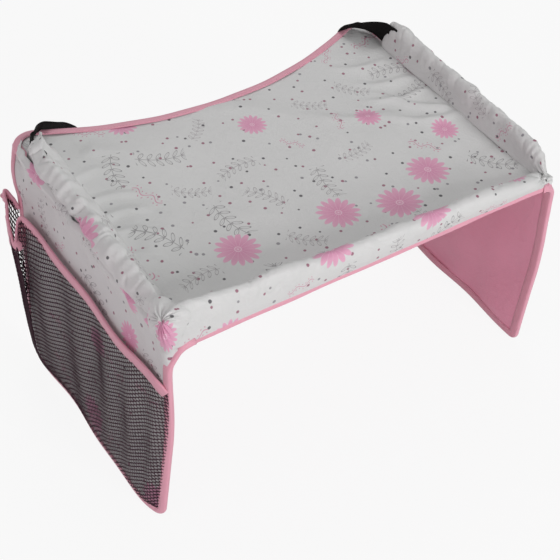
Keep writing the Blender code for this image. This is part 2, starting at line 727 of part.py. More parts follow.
def prong_outline(side):
    """A prong in X and Y from its root's centre: its round root, its hook, and
    its sloped tip."""
    half = PRONG_WIDTH / 2
    tip = half * PRONG_TIP_SHARE
    out = BUCKLE_WIDTH / 2 + HOOK_PROUD - PRONG_SPREAD
    root = arc(0, 0, half, -math.pi / 2, math.pi / 2, CORNER_STEPS)
    hook = [(-HOOK_START, half), (-HOOK_START, out), (-HOOK_START - HOOK_LENGTH, out)]
    nose = [(-PRONG_LENGTH, tip), (-PRONG_LENGTH, -tip), (half - PRONG_LENGTH, -half)]
    return [(x, side * y) for x, y in root + hook + nose]


def buckle_prong(side, name, parts, looks):
    """A sprung side prong of the plug, under an empty at its root."""
    holder = bpy.data.objects.new(f"{name}_hinge", None)
    parts.objects.link(holder)
    holder.location = (-PRONG_ROOT, BUCKLE_BACK + side * PRONG_SPREAD, -BUCKLE_DROP)
    base = -CORE_THICKNESS / 2
    prong = flat_piece(name, prong_outline(side), base, CORE_THICKNESS, parts, looks["buckle"])
    prong.parent = holder


def main():
    clear_scene()
    parts = new_collection("car_seat_tray_table")
    cutters = new_collection("cutters")
    looks = {
        "print": new_material("printed_cloth", (0.78, 0.74, 0.74), 0.5),
        "satin": new_material("pink_satin", (0.48, 0.16, 0.22), 0.5),
        "tape": new_material("pink_tape", (0.62, 0.25, 0.33), 0.6),
        "net": new_material("black_net", (0.02, 0.015, 0.018), 0.7),
        "webbing": new_material("black_webbing", (0.01, 0.01, 0.01), 0.7),
        "foam": new_material("white_foam", (0.85, 0.85, 0.82), 0.9),
        "board": new_material("grey_board", (0.35, 0.35, 0.34), 0.8),
        "buckle": new_material("black_plastic", (0.012, 0.012, 0.013), 0.35),
    }
    tray_floor(parts, looks)
    for side, name, splay in ((-1, "left", LEFT_FLAP_SPLAY), (1, "right", RIGHT_FLAP_SPLAY)):
        side_wall(side, name, parts, looks)
        corner_gather(side, name, parts, looks)
        side_flap(side, name, splay, parts, looks)
    front_wall(parts, looks)
    tray_tapes(parts, looks)
    belt(parts, looks)
    buckle_socket(parts, cutters, looks)
    buckle_plug(parts, cutters, looks)
    buckle_prong(-1, "buckle_prong_front", parts, looks)
    buckle_prong(1, "buckle_prong_rear", parts, looks)


main()
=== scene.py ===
"""Looks of a soft car seat tray: printed cloth over padding, pink tapes, net pockets and a belt.

Metres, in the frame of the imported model: +Z up, -Y the front edge, +Y the hollowed edge.
"""

import logging
import math
from dataclasses import dataclass, field
from enum import Enum
from typing import Sequence

import bmesh
import bpy
import numpy as np
from mathutils import Matrix, Vector
from mathutils.geometry import interpolate_bezier

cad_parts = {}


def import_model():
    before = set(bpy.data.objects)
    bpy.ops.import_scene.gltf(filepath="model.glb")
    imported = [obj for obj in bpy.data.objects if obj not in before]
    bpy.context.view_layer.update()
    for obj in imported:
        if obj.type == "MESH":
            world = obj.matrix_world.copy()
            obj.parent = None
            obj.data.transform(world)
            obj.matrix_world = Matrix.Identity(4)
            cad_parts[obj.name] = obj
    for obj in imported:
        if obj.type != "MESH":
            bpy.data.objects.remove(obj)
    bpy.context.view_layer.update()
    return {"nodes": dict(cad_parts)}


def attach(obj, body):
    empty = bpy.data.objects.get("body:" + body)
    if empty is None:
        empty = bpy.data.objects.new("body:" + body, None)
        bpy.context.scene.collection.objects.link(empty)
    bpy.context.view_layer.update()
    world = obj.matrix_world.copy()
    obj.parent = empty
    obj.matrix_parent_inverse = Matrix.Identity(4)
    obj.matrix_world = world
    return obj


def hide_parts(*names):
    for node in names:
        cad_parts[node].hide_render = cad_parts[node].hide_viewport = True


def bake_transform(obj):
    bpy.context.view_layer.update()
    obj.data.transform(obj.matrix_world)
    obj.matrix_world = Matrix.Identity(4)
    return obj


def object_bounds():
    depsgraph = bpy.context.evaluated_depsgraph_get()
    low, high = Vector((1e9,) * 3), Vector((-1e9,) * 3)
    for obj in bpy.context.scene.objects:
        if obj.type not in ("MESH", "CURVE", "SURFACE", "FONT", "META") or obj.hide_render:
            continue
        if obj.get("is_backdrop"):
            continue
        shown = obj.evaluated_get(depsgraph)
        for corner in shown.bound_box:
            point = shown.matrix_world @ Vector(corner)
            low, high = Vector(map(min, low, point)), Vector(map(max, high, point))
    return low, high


log = logging.getLogger("tray")
Tree = bpy.types.NodeTree
Piece = bpy.types.Object
Points = np.ndarray
Pair = tuple[float, float]
Triple = tuple[float, float, float]
Stations = tuple[tuple[Triple, Triple], ...]
MM = 0.001


class Side(Enum):
    """The two sides of the tray, seen from its front edge."""

    LEFT = -1
    RIGHT = 1

    @property
    def word(self) -> str:
        """The side's name as it stands in the names of the pieces."""
        return self.name.lower()


class Slot(Enum):
    """The material slots."""

    PRINT = "print"
    SATIN = "satin"
    TAPE = "tape"
    NET = "net"
    WEBBING = "webbing"
    BUCKLE = "buckle"


# The numbers of the Mix node's colour sockets, which share their names with its other sockets.
FIRST_COLOUR, SECOND_COLOUR, MIXED_COLOUR = 6, 7, 2


# Shader wiring


class Wire:
    """A socket in a node tree. Arithmetic on it adds Math nodes."""

    def __init__(self, tree: Tree, socket: bpy.types.NodeSocket) -> None:
        """Keeps the tree and the output socket."""
        self.tree = tree
        self.socket = socket

    def math(self, operation: str, *others: object) -> "Wire":
        """Adds a Math node.

        Args:
            operation: Blender's name of the operation.
            others: the further operands, wires or numbers.

        Returns:
            The node's result.
        """
        node = self.tree.nodes.new("ShaderNodeMath")
        node.operation = operation
        for place, value in zip(node.inputs, (self, *others)):
            plug(self.tree, value, place)
        return Wire(self.tree, node.outputs[0])

    def __add__(self, other: object) -> "Wire":
        """The sum."""
        return self.math("ADD", other)

    def __sub__(self, other: object) -> "Wire":
        """The difference."""
        return self.math("SUBTRACT", other)

    def __mul__(self, other: object) -> "Wire":
        """The product."""
        return self.math("MULTIPLY", other)

    def __truediv__(self, other: object) -> "Wire":
        """The quotient."""
        return self.math("DIVIDE", other)

    def abs(self) -> "Wire":
        """The value without its sign."""
        return self.math("ABSOLUTE")

    def below(self, edge: object, soft: object) -> "Wire":
        """1 where the value is under edge, falling softly to 0 within soft of it.

        Args:
            edge: the value at the middle of the fall, a wire or a number.
            soft: half the width of the fall, a wire or a number.

        Returns:
            The fall's result.
        """
        node = self.tree.nodes.new("ShaderNodeMapRange")
        node.interpolation_type = "SMOOTHSTEP"
        low = edge - soft
        high = edge + soft
        for name, value in (("Value", self), ("From Min", low), ("From Max", high)):
            plug(self.tree, value, node.inputs[name])
        node.inputs["To Min"].default_value = 1.0
        node.inputs["To Max"].default_value = 0.0
        return Wire(self.tree, node.outputs["Result"])


def plug(tree: Tree, value: object, place: bpy.types.NodeSocket) -> None:
    """Links a wire to a socket, or sets the socket to a number, colour or vector.

    Args:
        tree: the node tree.
        value: the wire, number, colour or vector.
        place: the input socket.
    """
    if isinstance(value, Wire):
        tree.links.new(value.socket, place)
    else:
        place.default_value = value


def split(tree: Tree, vector: Wire) -> tuple[Wire, Wire, Wire]:
    """The three parts of a vector.

    Args:
        tree: the node tree.
        vector: the vector to take apart.

    Returns:
        A wire for each part.
    """
    node = tree.nodes.new("ShaderNodeSeparateXYZ")
    plug(tree, vector, node.inputs[0])
    return tuple(Wire(tree, out) for out in node.outputs)


def join(tree: Tree, *parts: object) -> Wire:
    """A vector from its parts.

    Args:
        tree: the node tree.
        parts: up to three wires or numbers.

    Returns:
        The vector.
    """
    node = tree.nodes.new("ShaderNodeCombineXYZ")
    for place, value in zip(node.inputs, parts):
        plug(tree, value, place)
    return Wire(tree, node.outputs[0])


def blend_colour(tree: Tree, factor: object, first: object, second: object) -> Wire:
    """A colour between two others.

    Args:
        tree: the node tree.
        factor: how much of the second colour shows, from 0 to 1.
        first: the colour at 0.
        second: the colour at 1.

    Returns:
        The blended colour.
    """
    node = tree.nodes.new("ShaderNodeMix")
    node.data_type = "RGBA"
    plug(tree, factor, node.inputs["Factor"])
    plug(tree, first, node.inputs[FIRST_COLOUR])
    plug(tree, second, node.inputs[SECOND_COLOUR])
    return Wire(tree, node.outputs[MIXED_COLOUR])


def noise(tree: Tree, vector: Wire, scale: object, detail: float = 2.0) -> Wire:
    """A noise value about 0.5 at a number of patches for each metre.

    Args:
        tree: the node tree.
        vector: the place.
        scale: patches for each metre.
        detail: layers of finer noise.

    Returns:
        The noise value.
    """
    node = tree.nodes.new("ShaderNodeTexNoise")
    plug(tree, vector, node.inputs["Vector"])
    plug(tree, scale, node.inputs["Scale"])
    node.inputs["Detail"].default_value = detail
    return Wire(tree, node.outputs["Fac"])


def new_group(
    name: str, inputs: dict[str, str], outputs: dict[str, str],
) -> tuple[Tree, dict[str, Wire]]:
    """An empty node group with named sockets.

    Args:
        name: the group's name.
        inputs: each input's socket type.
        outputs: each output's socket type.

    Returns:
        The group, and a wire for each of its inputs.
    """
    tree = bpy.data.node_groups.new(name, "ShaderNodeTree")
    for label, kind in inputs.items():
        tree.interface.new_socket(name=label, in_out="INPUT", socket_type=kind)
    for label, kind in outputs.items():
        tree.interface.new_socket(name=label, in_out="OUTPUT", socket_type=kind)
    entry = tree.nodes.new("NodeGroupInput")
    return tree, {label: Wire(tree, entry.outputs[label]) for label in inputs}


def close_group(tree: Tree, results: dict[str, Wire]) -> Tree:
    """Links the results to a group's outputs.

    Args:
        tree: the group.
        results: a wire for each output's name.

    Returns:
        The same group.
    """
    end = tree.nodes.new("NodeGroupOutput")
    for label, wire in results.items():
        plug(tree, wire, end.inputs[label])
    return tree


def use_group(tree: Tree, group: Tree, **values: object) -> dict[str, Wire]:
    """Places a group in a tree with its own values and returns its outputs.

    Args:
        tree: the tree that the group goes into.
        group: the group.
        values: each input's value, by its name in lower case.

    Returns:
        A wire for each output's name.
    """
    node = tree.nodes.new("ShaderNodeGroup")
    node.node_tree = group
    for label, value in values.items():
        plug(tree, value, node.inputs[label.replace("_", " ").capitalize()])
    return {out.name: Wire(tree, out) for out in node.outputs}


VECTOR = "NodeSocketVector"
FLOAT = "NodeSocketFloat"
COLOUR = "NodeSocketColor"


@dataclass
class ClothEffects:
    """The node groups that the cloths share."""

    weave: Tree = field(init=False)
    rumple: Tree = field(init=False)
    print: Tree = field(init=False)
    stitch: Tree = field(init=False)

    BLOOM_REACH = 18.5 * MM
    PALE_PINK, DEEP_PINK, LINE_PINK = (
        (0.8, 0.4, 0.56, 1), (0.7, 0.23, 0.42, 1), (0.88, 0.66, 0.74, 1),
    )
    DARK_GREY, PALE_GREY = (0.16, 0.15, 0.16, 1), (0.34, 0.3, 0.32, 1)
    SWIRL_RED = (0.62, 0.2, 0.34, 1)
    DOT_RED, DOT_BLACK, DOT_GREY = (
        (0.3, 0.09, 0.15, 1), (0.035, 0.03, 0.04, 1), (0.25, 0.24, 0.26, 1),
    )

    def __post_init__(self) -> None:
        """Builds each group once."""
        self.weave = self.make_weave()
        self.rumple = self.make_rumple()
        self.print = self.make_print()
        self.stitch = self.make_stitch()

    def make_weave(self) -> Tree:
        """Crossing threads: a height for the bump, and a shade that varies with the yarn.

        Returns:
            The node group.
        """
        names = {"Cloth": VECTOR, "Pitch": FLOAT}
        tree, entry = new_group("plain_weave", names, {"Height": FLOAT, "Shade": FLOAT})
        crossing_soft, slub_squeeze, slub_scale = 0.4, 0.2, 900.0
        across, along, _ = split(tree, entry["Cloth"])
        warp = (across / entry["Pitch"] * math.pi).math("SINE").abs()
        weft = (along / entry["Pitch"] * math.pi).math("SINE").abs()
        over = ((across + along) / entry["Pitch"] * math.pi).math("SINE").below(0.0, crossing_soft)
        height = warp * over + weft * (over * -1.0 + 1.0)
        slub = noise(tree, join(tree, across * slub_squeeze, along, 0.0), slub_scale, 1.0)
        return close_group(tree, {"Height": height, "Shade": slub})

    def make_rumple(self) -> Tree:
        """Fine soft creases of cloth that has been folded and handled, and a patchy wear value.

        Returns:
            The node group.
        """
        names = {"Cloth": VECTOR, "Creases": FLOAT}
        tree, entry = new_group("handled_cloth", names, {"Height": FLOAT, "Wear": FLOAT})
        ridge_half, ridge_soft, ridge_height, broad_share = 0.02, 0.05, 0.4, 0.35
        waves = noise(tree, entry["Cloth"], entry["Creases"], 3.0)
        ridge = (waves - 0.5).abs().below(ridge_half, ridge_soft)
        broad = noise(tree, entry["Cloth"], entry["Creases"] * broad_share, 2.0)
        return close_group(tree, {"Height": ridge * ridge_height + broad, "Wear": broad})

    def cell(self, tree: Tree, place: Wire, size: float, spread: float) -> tuple[Wire, ...]:
        """Splits a surface into cells with one motif each.

        Args:
            tree: the group's tree.
            place: the cloth coordinates in metres.
            size: the mean distance between motifs.
            spread: how far a motif may stand from the middle of its cell, up to 1.

        Returns:
            The place within the motif in metres, across and along, and three random values.
        """
        node = tree.nodes.new("ShaderNodeTexVoronoi")
        node.voronoi_dimensions = "2D"
        node.inputs["Scale"].default_value = 1.0
        node.inputs["Randomness"].default_value = spread
        across, along, _ = split(tree, place)
        scaled = join(tree, across / size, along / size, 0.0)
        plug(tree, scaled, node.inputs["Vector"])
        centre_x, centre_y, _ = split(tree, Wire(tree, node.outputs["Position"]))
        chance = split(tree, Wire(tree, node.outputs["Color"]))
        return (across - centre_x * size, along - centre_y * size, *chance)

    def turned(self, tree: Tree, x: Wire, y: Wire, share: Wire) -> tuple[Wire, Wire]:
        """A place turned by a share of a full turn.

        Args:
            tree: the group's tree.
            x: the place along, in metres.
            y: the place across, in metres.
            share: the turn, 1 for a full one.

        Returns:
            The turned place, along and across.
        """
        angle = share * (2 * math.pi)
        cosine, sine = angle.math("COSINE"), angle.math("SINE")
        return x * cosine - y * sine, x * sine + y * cosine

    def bloom(self, tree: Tree, x: Wire, y: Wire) -> tuple[Wire, Wire]:
        """A round flower of narrow petals.

        Args:
            tree: the group's tree.
            x: the place along the motif, in metres.
            y: the place across it, in metres.

        Returns:
            The mask of its petals, and the mask of the lines between them.
        """
        reach, petals, heart = self.BLOOM_REACH, 15, 2.6 * MM
        radius = (x * x + y * y).math("SQRT")
        angle = y.math("ARCTAN2", x) * (petals / 2)
        lobe = angle.math("COSINE").abs()
        edge = (lobe * 0.34 + 0.66) * reach
        body = radius.below(edge, 0.5 * MM)
        gap = (lobe * radius).below(0.55 * MM, 0.4 * MM)
        ring = (radius - heart).abs().below(0.3 * MM, 0.3 * MM)
        lines = (gap + ring).math("MINIMUM", 1.0) * body
        return body, lines

    def sprig(self, tree: Tree, x: Wire, y: Wire) -> Wire:
        """The mask of a curved stem with outlined leaves in pairs.

        Args:
            tree: the group's tree.
            x: the place along the motif, in metres.
            y: the place across it, in metres.

        Returns:
            The mask.
        """
        reach, pitch, lean, line = 22.0 * MM, 7.5 * MM, 0.55, 0.24 * MM
        bowed = y - x * x * 9.0
        stem = bowed.abs().below(line, line)
        side = bowed.abs()
        shifted = x - side * lean
        local = (shifted / pitch).math("FRACT") * pitch - pitch / 2
        ratio_x, ratio_y = local / (1.7 * MM), (side - 4.2 * MM) / (3.4 * MM)
        ring = ((ratio_x * ratio_x + ratio_y * ratio_y).math("SQRT") - 1.0).abs()
        leaf = ring.below(0.12, 0.1)
        vein = local.abs().below(line * 0.5, line)
        vein = vein * (side - 4.0 * MM).abs().below(2.6 * MM, 0.3 * MM)
        inside = x.abs().below(reach, 0.4 * MM) * side.below(8.5 * MM, 0.2 * MM)
        return (stem + leaf + vein * 0.7).math("MINIMUM", 1.0) * inside

    def swirl(self, tree: Tree, x: Wire, y: Wire) -> Wire:
        """The mask of a wavy line with a row of beads beside it.

        Args:
            tree: the group's tree.
            x: the place along the motif, in metres.
            y: the place across it, in metres.

        Returns:
            The mask.
        """
        reach, wave, rise = 17.0 * MM, 2 * math.pi / (17.0 * MM), 2.6 * MM
        line = y - (x * wave).math("SINE") * rise
        ribbon = line.abs().below(0.55 * MM, 0.3 * MM)
        local = (x / (4.2 * MM)).math("FRACT") * (4.2 * MM) - 2.1 * MM
        off = line.abs() - 3.4 * MM
        bead = (local * local + off * off).math("SQRT").below(0.7 * MM, 0.25 * MM)
        return (ribbon + bead).math("MINIMUM", 1.0) * x.abs().below(reach, 0.5 * MM)

    def make_print(self) -> Tree:
        """White ground with pink blooms, grey sprigs, pink wavy lines and small scattered dots.

        Returns:
            The node group.
        """
        names = {"Cloth": VECTOR, "Ground": COLOUR}
        tree, entry = new_group("flower_print", names, {"Color": COLOUR, "Ink": FLOAT})
        motif_pitch, bloom_share, sprig_share, crisp = 54 * MM, 0.26, 0.66, 0.001
        black_share, grey_share = 0.45, 0.22
        x, y, kind, turn, tone = self.cell(tree, entry["Cloth"], motif_pitch, 0.5)
        x, y = self.turned(tree, x, y, turn)
        grown = tone * 0.55 + 0.8
        x, y = x * grown, y * grown
        is_bloom, is_sprig = kind.below(bloom_share, crisp), kind.below(sprig_share, crisp)
        body, lines = self.bloom(tree, x, y)
        reach = (x * x + y * y).math("SQRT") / self.BLOOM_REACH
        petal = blend_colour(tree, reach, self.DEEP_PINK, self.PALE_PINK)
        colour = blend_colour(tree, body * is_bloom * 0.92, entry["Ground"], petal)
        colour = blend_colour(tree, lines * is_bloom * 0.9, colour, self.LINE_PINK)
        grey = blend_colour(tree, tone, self.DARK_GREY, self.PALE_GREY)
        sprig = self.sprig(tree, x, y) * is_sprig * (is_bloom * -1.0 + 1.0)
        colour = blend_colour(tree, sprig * 0.85, colour, grey)
        swirl = self.swirl(tree, x, y) * (is_sprig * -1.0 + 1.0)
        colour = blend_colour(tree, swirl * 0.8, colour, self.SWIRL_RED)
        ink = (body * is_bloom + sprig + swirl).math("MINIMUM", 1.0)
        for size, seed, radius in ((23 * MM, 0.0, 1.25 * MM), (34 * MM, 3.3, 1.0 * MM)):
            moved = tree.nodes.new("ShaderNodeVectorMath")
            moved.operation = "ADD"
            plug(tree, entry["Cloth"], moved.inputs[0])
            moved.inputs[1].default_value = (seed, seed, 0.0)
            dot_x, dot_y, hue, big, _ = self.cell(tree, Wire(tree, moved.outputs[0]), size, 0.9)
            limit = big * (0.5 * MM) + radius
            dot = (dot_x * dot_x + dot_y * dot_y).math("SQRT").below(limit, 0.35 * MM)
            dot = dot * (ink * -1.0 + 1.0)
            shade = blend_colour(tree, hue.below(black_share, crisp), self.DOT_RED, self.DOT_BLACK)
            shade = blend_colour(tree, hue.below(grey_share, crisp), shade, self.DOT_GREY)
            colour = blend_colour(tree, dot * 0.9, colour, shade)
        return close_group(tree, {"Color": colour, "Ink": ink})

    def make_stitch(self) -> Tree:
        """A row of lockstitches at a distance from a tape's edges.

        Returns:
            The node group.
        """
        names = {"Cloth": VECTOR, "Inset": FLOAT}
        tree, entry = new_group("stitch_row", names, {"Height": FLOAT, "Thread": FLOAT})
        along, across, _ = split(tree, entry["Cloth"])
        pitch, thread_half, stitch_half = 3.0 * MM, 0.3 * MM, 1.05 * MM
        pull_half, pull = 0.9 * MM, -0.6
        local = (along / pitch).math("FRACT") * pitch - pitch / 2
        row = (across - entry["Inset"]).abs()
        thread = row.below(thread_half, 0.15 * MM) * local.abs().below(stitch_half, 0.25 * MM)
        pulled = row.below(pull_half, 0.8 * MM) * pull
        return close_group(tree, {"Height": thread + pulled, "Thread": thread})


@dataclass(frozen=True)
class Finish:
    """A cloth, webbing or plastic finish. Its stitches are a little lighter than its cloth."""

    name: str
    colour: Triple
    roughness: float
    slot: Slot
    weave_pitch: float = 0.5 * MM
    weave_depth: float = 0.00006
    rumple_depth: float = 0.0004
    creases: float = 70.0
    variation: float = 0.08
    sheen: float = 0.0
    printed: bool = False
    stitch_inset: float | None = None
    stitch_height: float = 0.35 * MM
    moulded: bool = False
    specular: float = 0.5

    def build(self, effects: ClothEffects) -> bpy.types.Material:
        """Makes the material.

        Args:
            effects: the shared node groups.

        Returns:
            The material, with its Principled shader fed by the groups.
        """
        material = bpy.data.materials.new(self.name)
        material.use_nodes = True
        tree = material.node_tree
        shader = tree.nodes["Principled BSDF"]
        shader.inputs["Metallic"].default_value = 0.0
        shader.inputs["Specular IOR Level"].default_value = self.specular
        shader.inputs["Sheen Weight"].default_value = self.sheen
        shader.inputs["Sheen Roughness"].default_value = 0.5
        if self.moulded:
            place = Wire(tree, tree.nodes.new("ShaderNodeTexCoord").outputs["Object"])
        else:
            uv = tree.nodes.new("ShaderNodeUVMap")
            uv.uv_map = "cloth"
            place = Wire(tree, uv.outputs["UV"])
        weave = use_group(tree, effects.weave, cloth=place, pitch=self.weave_pitch)
        rumple = use_group(tree, effects.rumple, cloth=place, creases=self.creases)
        ground: object = (*self.colour, 1.0)
        if self.printed:
            ground = use_group(tree, effects.print, cloth=place, ground=ground)["Color"]
        patches = (rumple["Wear"] - 0.5) * self.variation
        dim = patches + (weave["Shade"] - 0.5) * (self.variation / 2) + 1.0
        shaded = tree.nodes.new("ShaderNodeMix")
        shaded.data_type = "RGBA"
        shaded.blend_type = "MULTIPLY"
        shaded.inputs["Factor"].default_value = 1.0
        plug(tree, ground, shaded.inputs[FIRST_COLOUR])
        plug(tree, join(tree, dim, dim, dim), shaded.inputs[SECOND_COLOUR])
        colour = Wire(tree, shaded.outputs[MIXED_COLOUR])
        height = weave["Height"] * self.weave_depth + rumple["Height"] * self.rumple_depth
        if self.stitch_inset is not None:
            stitch = use_group(tree, effects.stitch, cloth=place, inset=self.stitch_inset)
            height = height + stitch["Height"] * self.stitch_height
            thread = tuple(min(1.0, 1.25 * part + 0.03) for part in self.colour)
            colour = blend_colour(tree, stitch["Thread"] * 0.8, colour, (*thread, 1.0))
        plug(tree, colour, shader.inputs["Base Color"])
        rough = (rumple["Wear"] - 0.5) * 0.12 + self.roughness
        plug(tree, rough, shader.inputs["Roughness"])
        bump = tree.nodes.new("ShaderNodeBump")
        bump.inputs["Distance"].default_value = 1.0
        plug(tree, height, bump.inputs["Height"])
        tree.links.new(bump.outputs["Normal"], shader.inputs["Normal"])
        return material


class Looks:
    """Every finish of the object, each built once."""

    FINISHES = (
        Finish("printed_cloth", (0.7, 0.7, 0.695), 0.44, Slot.PRINT, printed=True,
               variation=0.07),
        Finish("pink_lining", (0.9, 0.37, 0.51), 0.42, Slot.SATIN, sheen=0.15, variation=0.12,
               creases=40.0),
        Finish("pink_tape", (0.79, 0.365, 0.46), 0.5, Slot.TAPE, weave_pitch=0.7 * MM, sheen=0.1,
               rumple_depth=0.0002, stitch_inset=1.7 * MM),
        Finish("black_net", (0.046, 0.017, 0.028), 0.6, Slot.NET, rumple_depth=0.0,
               weave_pitch=0.25 * MM, weave_depth=0.00003, variation=0.3, specular=0.2),
        Finish("black_webbing", (0.006, 0.0055, 0.0055), 0.8, Slot.WEBBING, weave_pitch=1.6 * MM,
               weave_depth=0.00025, rumple_depth=0.0001, variation=0.3, specular=0.15),
        Finish("black_plastic", (0.014, 0.014, 0.015), 0.36, Slot.BUCKLE, weave_pitch=0.4 * MM,
               weave_depth=0.00001, rumple_depth=0.00003, creases=400.0, variation=0.1,
               moulded=True),
    )

    def __init__(self) -> None:
        """Builds the materials."""
        effects = ClothEffects()
        self.materials = {finish.slot: finish.build(effects) for finish in self.FINISHES}

    def dress(self, piece: Piece, slot: Slot) -> None:
        """Gives a piece the finish of a slot.

        Args:
            piece: the piece.
            slot: the slot that the finish belongs to.
        """
        piece.data.materials.clear()
        piece.data.materials.append(self.materials[slot])


# Shapes


@dataclass(frozen=True)
class Ripples:
    """Waves in cloth: a fixed sum of sine waves of like length in every direction."""

    wavelength: float
    height: float
    seed: int
    stretch: float = 1.0
    pinched: bool = False
    waves: int = 9
    lengths: Pair = (0.7, 1.5)
    pinch: float = 0.3

    def at(self, along: Points, across: Points) -> Points:
        """The height of the cloth at places along it and across it, in metres.

        Args:
            along: places along the cloth, in metres.
            across: places across it, in metres.

        Returns:
            The height at each place.
        """
        rng = np.random.default_rng(self.seed)
        total = np.zeros(np.broadcast(along, across).shape)
        for _ in range(self.waves):
            angle, wave = rng.uniform(0, math.pi), self.wavelength * rng.uniform(*self.lengths)
            phase = rng.uniform(0, 2 * math.pi)
            reach = along * math.cos(angle) + across * math.sin(angle) / self.stretch
            total = total + np.sin(2 * math.pi * reach / wave + phase)
        total = total / math.sqrt(self.waves / 2)
        if self.pinched:
            return self.height / (1 + (total / self.pinch) ** 2)
        return self.height * total / 1.5


def smooth(value: Points) -> Points:
    """An even step from 0 to 1."""
    value = np.clip(value, 0.0, 1.0)
    return value * value * (3 - 2 * value)


def ramp(value: Points, start: float, length: float) -> Points:
    """An even step from 0 at a start to 1 a length further on, both in millimetres."""
    return smooth((value - start * MM) / (length * MM))


def curve(knots: Sequence[Sequence[float]], steps: int) -> Points:
    """A smooth curve through knots, with the same number of steps in each stretch.

    Args:
        knots: the points that the curve passes.
        steps: the steps from knot to knot.

    Returns:
        The curve's points.
    """
    places = [Vector(knot) for knot in knots]
    last, line = len(places) - 1, [places[0]]
    for i in range(last):
        start, end = places[i], places[i + 1]
        reach = (end - start).length / 3
        leave = (end - places[max(i - 1, 0)]).normalized() * reach
        arrive = (places[min(i + 2, last)] - start).normalized() * reach
        line += interpolate_bezier(start, start + leave, end - arrive, end, steps + 1)[1:]
    return np.array([tuple(p) for p in line])


def through(knots: Sequence[Sequence[float]], count: int) -> Points:
    """Points evenly spaced on a smooth curve through knots."""
    return respaced(curve(knots, 16), count)


def respaced(line: Points, count: int) -> Points:
    """The same line with its points evenly spaced.

    Args:
        line: the points of a line.
        count: how many points it gets.

    Returns:
        The line's new points.
    """
    far = arc_length(line)
    at = np.linspace(0, far[-1], count)
    return np.stack([np.interp(at, far, line[:, k]) for k in range(line.shape[1])], axis=1)


def eased(line: Points, count: int) -> Points:
    """A line with its kinks worn down by averaging neighbours, its ends kept.

    Args:
        line: the points of a line.
        count: how many times it is averaged.

    Returns:
        The eased points.
    """
    line = line.copy()
    for _ in range(count):
        line[1:-1] = 0.25 * line[:-2] + 0.5 * line[1:-1] + 0.25 * line[2:]
    return line


def arc_length(line: Points) -> Points:
    """The distance along a line to each of its points."""
    return np.concatenate([[0], np.cumsum(np.linalg.norm(np.diff(line, axis=0), axis=1))])


def unit(vectors: Points) -> Points:
    """Vectors of length 1."""
    return vectors / np.maximum(np.linalg.norm(vectors, axis=-1, keepdims=True), 1e-12)


def surface_normals(points: Points) -> Points:
    """The normals of a grid of points, from its rows to its columns."""
    return unit(np.cross(np.gradient(points, axis=1), np.gradient(points, axis=0)))


def cloth_piece(
    name: str, points: Points, cloth: Points, wrap: bool = False, caps: bool = False,
) -> Piece:
    """A piece from a grid of points.

    Args:
        name: the piece's name.
        points: rows and columns of points.
        cloth: the cloth coordinates of the same grid, in metres.
        wrap: whether the last column is the first one again.
        caps: whether a tube's two ends are closed.

    Returns:
        The piece, shaded smooth.
    """
    rows, columns = points.shape[:2]
    stride = columns - 1 if wrap else columns
    r, c = np.meshgrid(np.arange(rows - 1), np.arange(columns - 1), indexing="ij")
    corners = [(r, c), (r, c + 1), (r + 1, c + 1), (r + 1, c)]
    faces = np.stack([i * stride + j % stride for i, j in corners], axis=-1).reshape(-1, 4)
    uvs = np.stack([cloth[i, j] for i, j in corners], axis=2).reshape(-1, 2)
    verts = points[:, :stride].reshape(-1, 3)
    face_list = [tuple(int(i) for i in face) for face in faces]
    if caps:
        ends = ([k for k in range(stride)], [(rows - 1) * stride + k for k in range(stride)][::-1])
        face_list += [tuple(end) for end in ends]
        uvs = np.concatenate([uvs, cloth[0, :stride], cloth[-1, :stride][::-1]])
    mesh = bpy.data.meshes.new(name)
    mesh.from_pydata([tuple(v) for v in verts], [], face_list)
    layer = mesh.uv_layers.new(name="cloth")
    layer.uv.foreach_set("vector", uvs.astype(np.float32).ravel())
    face_outwards(mesh)
    mesh.shade_smooth()
    piece = bpy.data.objects.new(name, mesh)
    bpy.context.scene.collection.objects.link(piece)
    return piece


def face_outwards(mesh: bpy.types.Mesh) -> None:
    """Turns a mesh's faces to point the same way, outwards where it is closed.

    Args:
        mesh: the mesh, changed in place.
    """
    work = bmesh.new()
    work.from_mesh(mesh)
    bmesh.ops.recalc_face_normals(work, faces=work.faces)
    work.to_mesh(mesh)
    work.free()


def thicken(piece: Piece, thickness: float, offset: float = 0.0) -> None:
    """Gives a sheet its thickness.

    Args:
        piece: the sheet.
        thickness: its thickness in metres.
        offset: -1 for all of it behind the face, 0 for half on each side.
    """
    modifier = piece.modifiers.new("Thickness", "SOLIDIFY")
    modifier.thickness = thickness
    modifier.offset = offset


def settle(piece: Piece) -> None:
    """Turns a piece's modifiers into its mesh.

    Args:
        piece: the piece, changed in place.
    """
    bpy.context.view_layer.update()
    graph = bpy.context.evaluated_depsgraph_get()
    shown = piece.evaluated_get(graph)
    made = bpy.data.meshes.new_from_object(shown, preserve_all_data_layers=True, depsgraph=graph)
    piece.modifiers.clear()
    old, piece.data = piece.data, made
    bpy.data.meshes.remove(old)
    made.name = piece.name


def grid_cloth(points: Points) -> Points:
    """Cloth coordinates from the distances along a grid's columns and rows.

    Args:
        points: rows and columns of points.

    Returns:
        At each point, the mean distance down the rows and along the columns.
    """
    along = np.linalg.norm(np.diff(points, axis=0), axis=2).mean(axis=1)
    across = np.linalg.norm(np.diff(points, axis=1), axis=2).mean(axis=0)
    u = np.concatenate([[0], np.cumsum(along)])
    v = np.concatenate([[0], np.cumsum(across)])
    return np.stack(np.meshgrid(u, v, indexing="ij"), axis=2)


